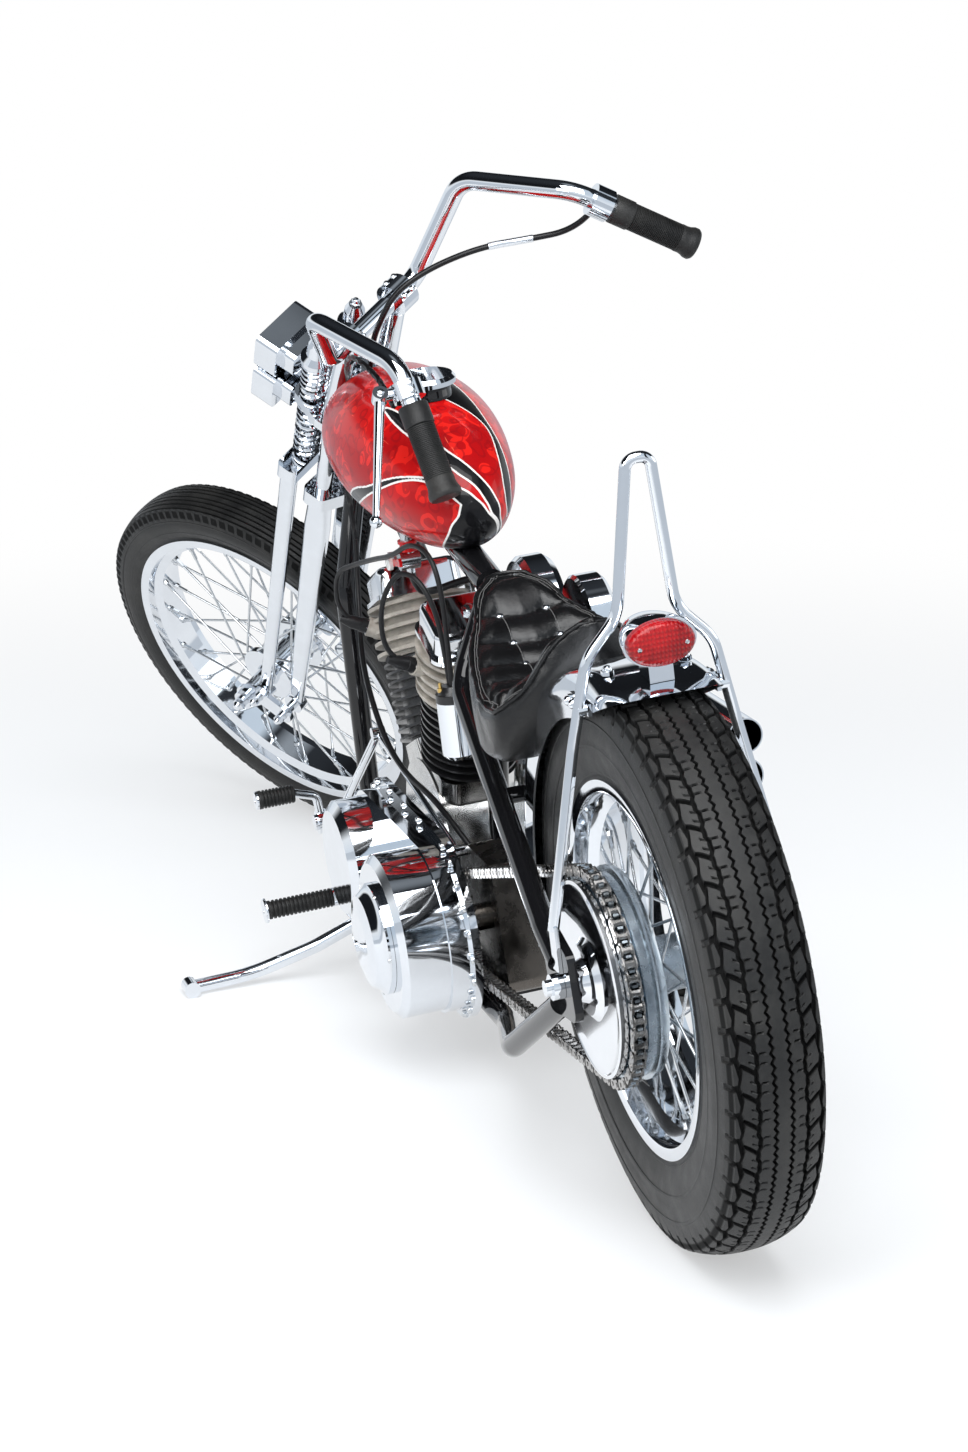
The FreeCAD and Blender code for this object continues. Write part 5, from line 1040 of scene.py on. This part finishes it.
def lens_finish():
    """Clear red plastic with fine prisms moulded behind it."""
    paint = Paint("red_lens")
    _, y, z = paint.measured("frame")
    prisms = (y * 1.4).math("SINE") * 0.5 + (z * 1.1).math("SINE") * 0.5
    broad = paint.noise(30.0, 2.0).smooth(0.35, 0.65)
    colour = paint.blend(broad, (0.19, 0.002, 0.005), (0.38, 0.007, 0.010))
    colour = paint.blend(prisms.smooth(0.0, 0.9) * 0.25, colour, (0.62, 0.05, 0.04))
    return paint.finish(prisms, 0.0005, Base_Color=colour, Roughness=0.12, Specular_IOR_Level=0.2,
                        Coat_Weight=0.4, Coat_Roughness=0.02)


coat("tail_light_lens", lens_finish())
lamp_at = Matrix.Translation((-68, 0, 717)) @ Matrix.Rotation(math.radians(-90 - 8), 4, "Y")
lens_screws = [lamp_at @ Matrix.Translation((0, side * 27.0, 10.6)) for side in (1, -1)]
repeated("lens_screws", screw.copy(), lens_screws, "frame", bright_steel, size=0.6)

# ---- Seat: a tufted leather saddle -----------------------------------------------------
# Its stuffed form is inflated as cloth, then buttoned down in rows of plump rolls. A plain
# border with a double row of stitches and a piped edge runs round the top.
# Each row: x, half the width, and the heights of the underside, the rim and the top's middle.
RIM = ((540, 6, 655, 677, 676), (532, 24, 645, 674, 668), (520, 35, 628, 672, 662), (500, 55, 600, 660, 650),
       (480, 66, 574, 645, 636), (440, 80, 528, 636, 618), (400, 96, 514, 623, 600),
       (350, 110, 509, 607, 586),
       (300, 120, 509, 592, 582), (250, 122, 517, 588, 598), (226, 116, 532, 592, 628),
       (205, 92, 560, 612, 660),
       (190, 62, 590, 655, 682), (176, 26, 615, 687, 691), (168, 5, 640, 695, 694))
WIDE, UNDER, EDGE, MIDDLE = 1, 2, 3, 4
ROWS, OVER = 76, 25
ROLLS = (467, 417, 374, 334, 296, 262)
APART = 30.0
saddle_rows = flow(RIM, ROWS)
buttons = [(x, side * APART) for x in ROLLS for side in (1, -1)]


def saddle_size(x, column):
    return np.interp(-x, -saddle_rows[:, 0], saddle_rows[:, column])


def saddle_top(x, y):
    """Height of the saddle's top: its rim at the sides and a dish, or a rising lip, between."""
    wide, rim, middle = (saddle_size(x, column) for column in (WIDE, EDGE, MIDDLE))
    share = np.clip(np.abs(y) / np.maximum(wide, 1.0), 0, 1)
    return middle + (rim - middle) * share ** 2.4


def saddle_form(shrink):
    """The closed form: points over the top, then down each side to the underside."""
    points = []
    for x, wide, low, rim, _ in saddle_rows:
        half = wide - shrink
        ys = np.sin(np.linspace(-math.pi / 2, math.pi / 2, OVER)) * half
        top = [(x, y, saddle_top(x, y) - shrink) for y in ys]
        side = [(half * 1.01, rim - 12), (half, low + 0.45 * (rim - low)), (half - 2, low + 12),
                (0.8 * wide, low)]
        points += top + [(x, y, z) for y, z in side] + [(x, -y, z) for y, z in reversed(side)]
    n = OVER + 8
    faces = [(i * n + j, i * n + (j + 1) % n, (i + 1) * n + (j + 1) % n, (i + 1) * n + j)
             for i in range(ROWS - 1) for j in range(n)]
    return drawn("saddle", points, faces + [tuple(range(n)), tuple(range((ROWS - 1) * n, ROWS * n))])


FRAMES = 20


def stuffed(mesh, voxel, cap, pressure):
    """The form inflated as cloth, each point moved no further than the cap, in metres."""
    tidy_mesh(mesh)
    mesh.transform(Matrix.Scale(0.001, 4))
    mesh.remesh_voxel_size = voxel
    pad = link_up(bpy.data.objects.new("stuffing", mesh))
    remesh = pad.modifiers.new("remesh", "REMESH")
    remesh.mode = "VOXEL"
    remesh.voxel_size = voxel
    base = worked(pad)
    start = np.array([v.co for v in base.vertices])
    pad = link_up(bpy.data.objects.new("stuffing", base))
    held = pad.vertex_groups.new(name="held")
    low = saddle_size(start[:, 0] * 1000, UNDER) / 1000 + 0.018
    held.add([int(i) for i in np.nonzero(start[:, 2] < low)[0]], 1.0, "REPLACE")
    cloth = pad.modifiers.new("cloth", "CLOTH")
    cloth.settings.use_pressure = True
    cloth.settings.uniform_pressure_force = pressure
    cloth.settings.effector_weights.gravity = 0.0
    cloth.settings.vertex_group_mass = "held"
    cloth.settings.mass = 0.3
    cloth.settings.tension_stiffness = cloth.settings.compression_stiffness = 20.0
    cloth.settings.quality = 5
    cloth.point_cache.frame_start, cloth.point_cache.frame_end = 1, FRAMES
    for number in range(1, FRAMES + 1):
        bpy.context.scene.frame_set(number)
    end = worked(pad)
    shift = np.array([v.co for v in end.vertices]) - start
    far = np.linalg.norm(shift, axis=1, keepdims=True)
    start += shift * np.minimum(1.0, cap / np.maximum(far, 1e-9))
    bpy.context.scene.frame_set(1)
    end.vertices.foreach_set("co", start.astype(np.float32).ravel())
    return end


pad_mesh = stuffed(saddle_form(4.0), 0.005, 0.007, 4.0)
pad = link_up(bpy.data.objects.new("pad", pad_mesh))
smoother = pad.modifiers.new("smooth", "SMOOTH")
smoother.factor, smoother.iterations = 0.5, 2
finer = pad.modifiers.new("finer", "SUBSURF")
finer.levels = finer.render_levels = 1
pad_mesh = worked(pad)
pad_mesh.transform(Matrix.Scale(1000, 4))

# Plump rolls lie between the rows of buttons, inside a plain border with one groove.
BORDER, NOSE = 17, 530
at = np.array([v.co for v in pad_mesh.vertices])
out = np.array([v.normal for v in pad_mesh.vertices])
forward, aside = at[:, 0], np.abs(at[:, 1])
near_top = np.clip((at[:, 2] - saddle_top(forward, at[:, 1]) + 14) / 8, 0, 1)
on_top = near_top * np.clip((out[:, 2] - 0.25) / 0.2, 0, 1)
margin = np.minimum(saddle_size(forward, WIDE) - BORDER - aside, (NOSE - forward) * 0.8)
field = np.clip(margin / 5.0, 0, 1) * on_top
dents = np.array([560, 526, *ROLLS, 226, 190, 150], float)
bow = (np.abs(aside - APART) / 40) ** 1.6 * 7.0
row = np.clip(np.searchsorted(-dents, -(forward + bow)) - 1, 0, len(dents) - 2)
share = (dents[row] - forward - bow) / (dents[row] - dents[row + 1])
roll = np.sin(np.clip(share, 0, 1) * math.pi) ** 0.5
inner_side = np.clip(1 - aside / APART, 0, 1) ** 0.5
outer_side = np.clip((aside - APART) / 22, 0, 1) ** 0.5
from_seam = np.where(aside < APART, inner_side, outer_side)
swell = 12.0 * roll * (0.80 + 0.20 * from_seam) * np.clip(margin / 16.0, 0, 1) ** 0.5 - 4.0
groove = 1.8 * np.exp(-((margin + 1.5) / 1.6) ** 2) * on_top
dip = sum(3.0 * np.exp(-((forward - x) ** 2 + (at[:, 1] - y) ** 2) / 90.0) for x, y in buttons)
at = at + out * ((swell - dip) * field - groove)[:, None]
pad_mesh.vertices.foreach_set("co", at.astype(np.float32).ravel())
pad_mesh.update()


def leather(name, tint, rough):
    """Black cowhide: a fine pebbled grain, faint creases and a soft polish."""
    paint = Paint(name)
    grain = paint.node("TexVoronoi", {}, {"Vector": paint.here(), "Scale": 900.0}, out="Distance")
    crease = paint.noise(130.0, 5.0, 0.65)
    worn = paint.noise(14.0, 3.0).scaled(0.3, 0.7, rough * 0.85, rough * 1.2)
    return paint.finish(grain * 0.35 + crease, 0.0005, Base_Color=tint, Roughness=worn,
                        Specular_IOR_Level=0.42)


hide_surface = BVHTree.FromPolygons([Vector(p) for p in at], [tuple(f.vertices) for f in pad_mesh.polygons])


def sunk_in(x, y, lift):
    """The point of the finished top straight below x and y, raised by lift."""
    spot = hide_surface.ray_cast(Vector((x, y, 900.0)), Vector((0.0, 0.0, -1.0)))[0]
    return spot + Vector((0.0, 0.0, lift))


def border_point(x, inset, lift):
    """The pad's nearest point to a spot of the top, inset from its left rim, raised by lift."""
    y = max(float(saddle_size(x, WIDE)) - inset, 0.0)
    spot, normal = hide_surface.find_nearest(Vector((x, y, float(saddle_top(x, y)))))[:2]
    return spot + normal * lift


hide = leather("black_leather", (0.0050, 0.0050, 0.0054), 0.20)
saddle = mount("tufted_saddle", pad_mesh, "frame", hide, replaces=("seat",), slot="black_leather", crease=75)


def tube_mesh(name, points, radius, sides=8, closed=False):
    """A round bar through close points."""
    points = [Vector(p) for p in points]
    n, side, parts = len(points), Vector((0.3, 0.5, 0.8)), []
    turns = [2 * math.pi * k / sides for k in range(sides)]
    for i, p in enumerate(points):
        before = points[(i - 1) % n if closed else max(i - 1, 0)]
        after = points[(i + 1) % n if closed else min(i + 1, n - 1)]
        way = (after - before).normalized()
        side = (side - way * side.dot(way)).normalized()
        up = way.cross(side)
        parts += [tuple(p + (side * math.cos(t) + up * math.sin(t)) * radius) for t in turns]
    faces = []
    for i in range(n if closed else n - 1):
        a, b = i * sides, (i + 1) % n * sides
        faces += [(a + k, a + (k + 1) % sides, b + (k + 1) % sides, b + k) for k in range(sides)]
    if not closed:
        faces += [tuple(range(sides)), tuple(range((n - 1) * sides, n * sides))]
    return drawn(name, parts, faces)


def border(inset, lift, count=64):
    """Round the saddle's top at one distance from its rim, from the nose down the left."""
    ends = (538 - inset * 0.5, 522, 214, 174 + inset * 0.5)
    reach = np.interp(np.linspace(0, 1, count), (0, 0.06, 0.86, 1), ends)
    left = [border_point(x, inset, lift) for x in reach]
    return left + [Vector((p.x, -p.y, p.z)) for p in reversed(left)]


piping = leather("piping", (0.006, 0.006, 0.0065), 0.24)
mount("saddle_piping", tube_mesh("pipe", border(2.0, 1.0), 2.7, 8, True), "frame", piping)


def sewn(line, spacing):
    """Evenly spaced spots along a line, each lying along it."""
    spots, left = [], 0.0
    for a, b in zip(line, line[1:]):
        run = (b - a).length
        while left < run:
            spots.append(pointing(a.lerp(b, left / run), b - a, "X", "Z"))
            left += spacing
        left -= run
    return spots


stitch = joined("stitch", [moved(prism(5, 0.55, -1.9, 1.9), Matrix.Rotation(math.pi / 2, 4, "Y"))])
thread = enamel("waxed_thread", (0.13, 0.13, 0.13), 0.4, 0.0)
STITCH = 4.6
sewing = sewn(border(13.0, 1.0, 90), STITCH) + sewn(border(16.5, 0.6, 90), STITCH)
for side in (1, -1):
    line = [sunk_in(x, APART * side, 0.5) for x in np.arange(ROLLS[-1], ROLLS[0], 2.0)]
    sewing += sewn(line, STITCH)
repeated("saddle_stitches", stitch, sewing, "frame", thread)

button = joined("button", [lathe([(0.0, -3.0), (5.6, -3.0), (5.6, 0.0), (4.8, 1.5), (3.0, 2.6),
                                  (0.0, 3.0)], 14)])
tipped = Matrix.Rotation(math.radians(-12), 4, "Y")
button_spots = [Matrix.Translation(sunk_in(x, y, 2.4)) @ tipped for x, y in buttons]
repeated("saddle_buttons", button, button_spots, "frame", chrome)

# ---- Springer fork ---------------------------------------------------------------------
# Plated steel legs and rockers, with coiled steel springs on the front legs' upper rods and
# a domed nut on every pin. Two risers, each clamped by four screws, stand on its perch.
for node in ("fork_rear_legs", "fork_perch", "stem_nut", "fork_front_legs", "spring_caps", "fork_rockers",
             "risers"):
    coat(node, chrome)

ROD_X, ROD_Y = -22, 40
COIL, WIRE_RADIUS, SEAT_GAP = 16.4, 3.4, 3.2
STEPS = 18  # to a turn
coils = []
for low, high, turns in ((599.0, 710.0, 8.5), (730.0, 798.0, 6.5)):
    for side in (1, -1):
        count = int(turns * STEPS)
        path = []
        for i in range(count + 1):
            turn, share = 2 * math.pi * turns * i / count, i / count
            path.append((ROD_X + COIL * math.cos(turn), side * ROD_Y + COIL * math.sin(turn),
                         low + SEAT_GAP + (high - low - 2 * SEAT_GAP) * share))
        mesh = tube_mesh("coil", path, WIRE_RADIUS, 8)
        coils.append(([v.co[:] for v in mesh.vertices], [tuple(p.vertices) for p in mesh.polygons]))
mount("fork_coil_springs", joined("coils", coils), "fork", chrome, replaces=("fork_springs",),
      slot="spring_chrome")

# Nuts close the rockers' pins, the axle's ends, the rods' tops and the risers' outer sides.
pins = []
for side in (1, -1):
    pins += [along_y(x, side * 103.0, z, side) for x, z in ((ROD_X, 22), (-69, 18))]
    pins += [along_y(0, side * 109.0, 0, side) @ Matrix.Scale(1.3, 4)]
    pins += [Matrix.Translation((ROD_X, side * ROD_Y, 846)), along_y(-77, side * 70.5, 897, side)]
repeated("fork_acorn_nuts", acorn.copy(), pins, "fork", chrome)
clamp_screws = [Matrix.Translation((-77 + x, side * 55 + y, 915.0))
                for side in (1, -1) for x in (-15, 15) for y in (-8, 8)]
repeated("riser_screws", screw.copy(), clamp_screws, "fork", bright_steel, size=0.9)

# ---- Headlights ------------------------------------------------------------------------
# Two plated rectangular lamps, one above the other, each with fluted pressed glass over a
# bright bowl and four small screws in its rim.
for node in ("headlights", "headlight_bracket"):
    coat(node, chrome)


def glass_finish():
    """Pressed lamp glass over a bright bowl."""
    paint = Paint("lamp_glass")
    _, y, _ = paint.measured("fork")
    flutes = (y * 0.9).math("SINE")
    return paint.finish(flutes, 0.0008, Base_Color=(0.70, 0.76, 0.82), Metallic=0.85, Roughness=0.12,
                        Coat_Weight=1.0, Coat_Roughness=0.01)


coat("headlight_lenses", glass_finish())
ahead_turn = Matrix.Rotation(math.pi / 2, 4, "Y")
rim_spots = [(74.0, side * 38.0, z + up * 22.0) for z in (672.0, 740.0) for side in (1, -1) for up in (1, -1)]
rims = [Matrix.Translation(spot) @ ahead_turn for spot in rim_spots]
repeated("lamp_screws", screw.copy(), rims, "fork", bright_steel, size=0.55)

# ---- Handlebar, levers and grips -------------------------------------------------------
# A swept-back plated steel bar with a black rubber grip at each end: fine round ribs
# between a plain collar and a flared end. The lever's perch is clamped by two screws.
for node in ("handlebar", "throttle", "clutch_lever"):
    coat(node, chrome)


def grip_ends(side):
    return Vector((-283, side * 213, 1100)), Vector((-385, side * 270, 1056))


GRIP_RIBS, RIB_STEP = 30, 2.35
grips = []
for side in (1, -1):
    start, end = grip_ends(side)
    long = (end - start).length
    rows = [(0.0, 0.3), (18.5, 0.3), (19.5, 1.5), (19.5, 27.0), (18.6, 28.0)]
    for i in range(GRIP_RIBS):
        low = 28.5 + i * RIB_STEP
        rows += [(17.0, low), (17.0, low + 0.8), (18.2, low + 1.2), (18.2, low + 2.0)]
    rows += [(18.6, 99.5), (18.4, 106.0), (19.2, long - 14), (21.2, long - 9), (21.4, long - 4),
             (19.4, long - 1), (0.0, long - 0.3)]
    grips.append(moved(lathe(rows, 28), pointing(start, end - start)))
mount("rubber_grips", joined("grips", grips), "fork", rubber, replaces=("grips",), slot="grip_rubber",
      crease=40)

start, end = grip_ends(1)
clamp = pointing(start, end - start)
upwards = Matrix.Rotation(-math.pi / 2, 4, "X")
fixings = [Matrix.Translation((-246.2, 232.3, 1113.5))]
fixings += [clamp @ Matrix.Translation((0, 19.5, back)) @ upwards for back in (-14, -24)]
repeated("lever_screws", screw.copy(), fixings, "fork", bright_steel, size=0.95)

# ---- Throttle and clutch cables --------------------------------------------------------
# Steel cables in black sleeves. The clutch's is in two lengths that meet on the frame; the
# upper one, from the lever down to the frame, is a plain fixed mesh.
sleeve = enamel("cable_sleeve", (0.010, 0.010, 0.011), 0.32, 0.2)
CABLE = 4.0
THROTTLE_RUN = ((-262, -200, 1088), (-250, -190, 1050), (-200, -150, 1025), (-164, -100, 1026),
                (-123, -50, 996),
                (-106, 0, 978), (-105, 25, 945), (-98, 28, 889), (-104, 32, 829), (-108, 35, 728.3))
twist, along = route("throttle_sleeve", THROTTLE_RUN, "fork", CABLE, sleeve)
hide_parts("throttle_cable")
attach(twist, "fork")
count = len(along)
home = place["fork"].inverted()
ferrule = [home @ along[i] * 1000.0 for i in range(int(count * 0.17), int(count * 0.30))]
mount("cable_ferrule", tube_mesh("ferrule", ferrule, 4.9, 12), "fork", chrome)

LOW_RUN = ((1120, 45, 600), (1110, 54, 520), (1058, 72, 455), (972, 88, 424), (906, 88, 366), (832, 82, 340),
           (758, 74, 334), (700, 64, 312), (668, 50, 281))
low_cable, _ = route("clutch_cable", LOW_RUN, "frame", CABLE, sleeve)
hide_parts("cables")
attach(low_cable, "frame")

LEVER_RUN = (("fork", -262, 222, 1089), ("fork", -243, 205, 1072), ("fork", -205, 178, 1058),
             ("fork", -140, 140, 1010), ("fork", -96, 84, 900), ("fork", -84, 46, 800),
             ("frame", 1142, 44, 712), ("frame", 1132, 44, 655), ("frame", 1120, 45, 600))
lever_cable, along = route("clutch_cable_upper", LEVER_RUN, "fork", CABLE, sleeve, bends=True)
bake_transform(lever_cable)

bpy.context.view_layer.update()
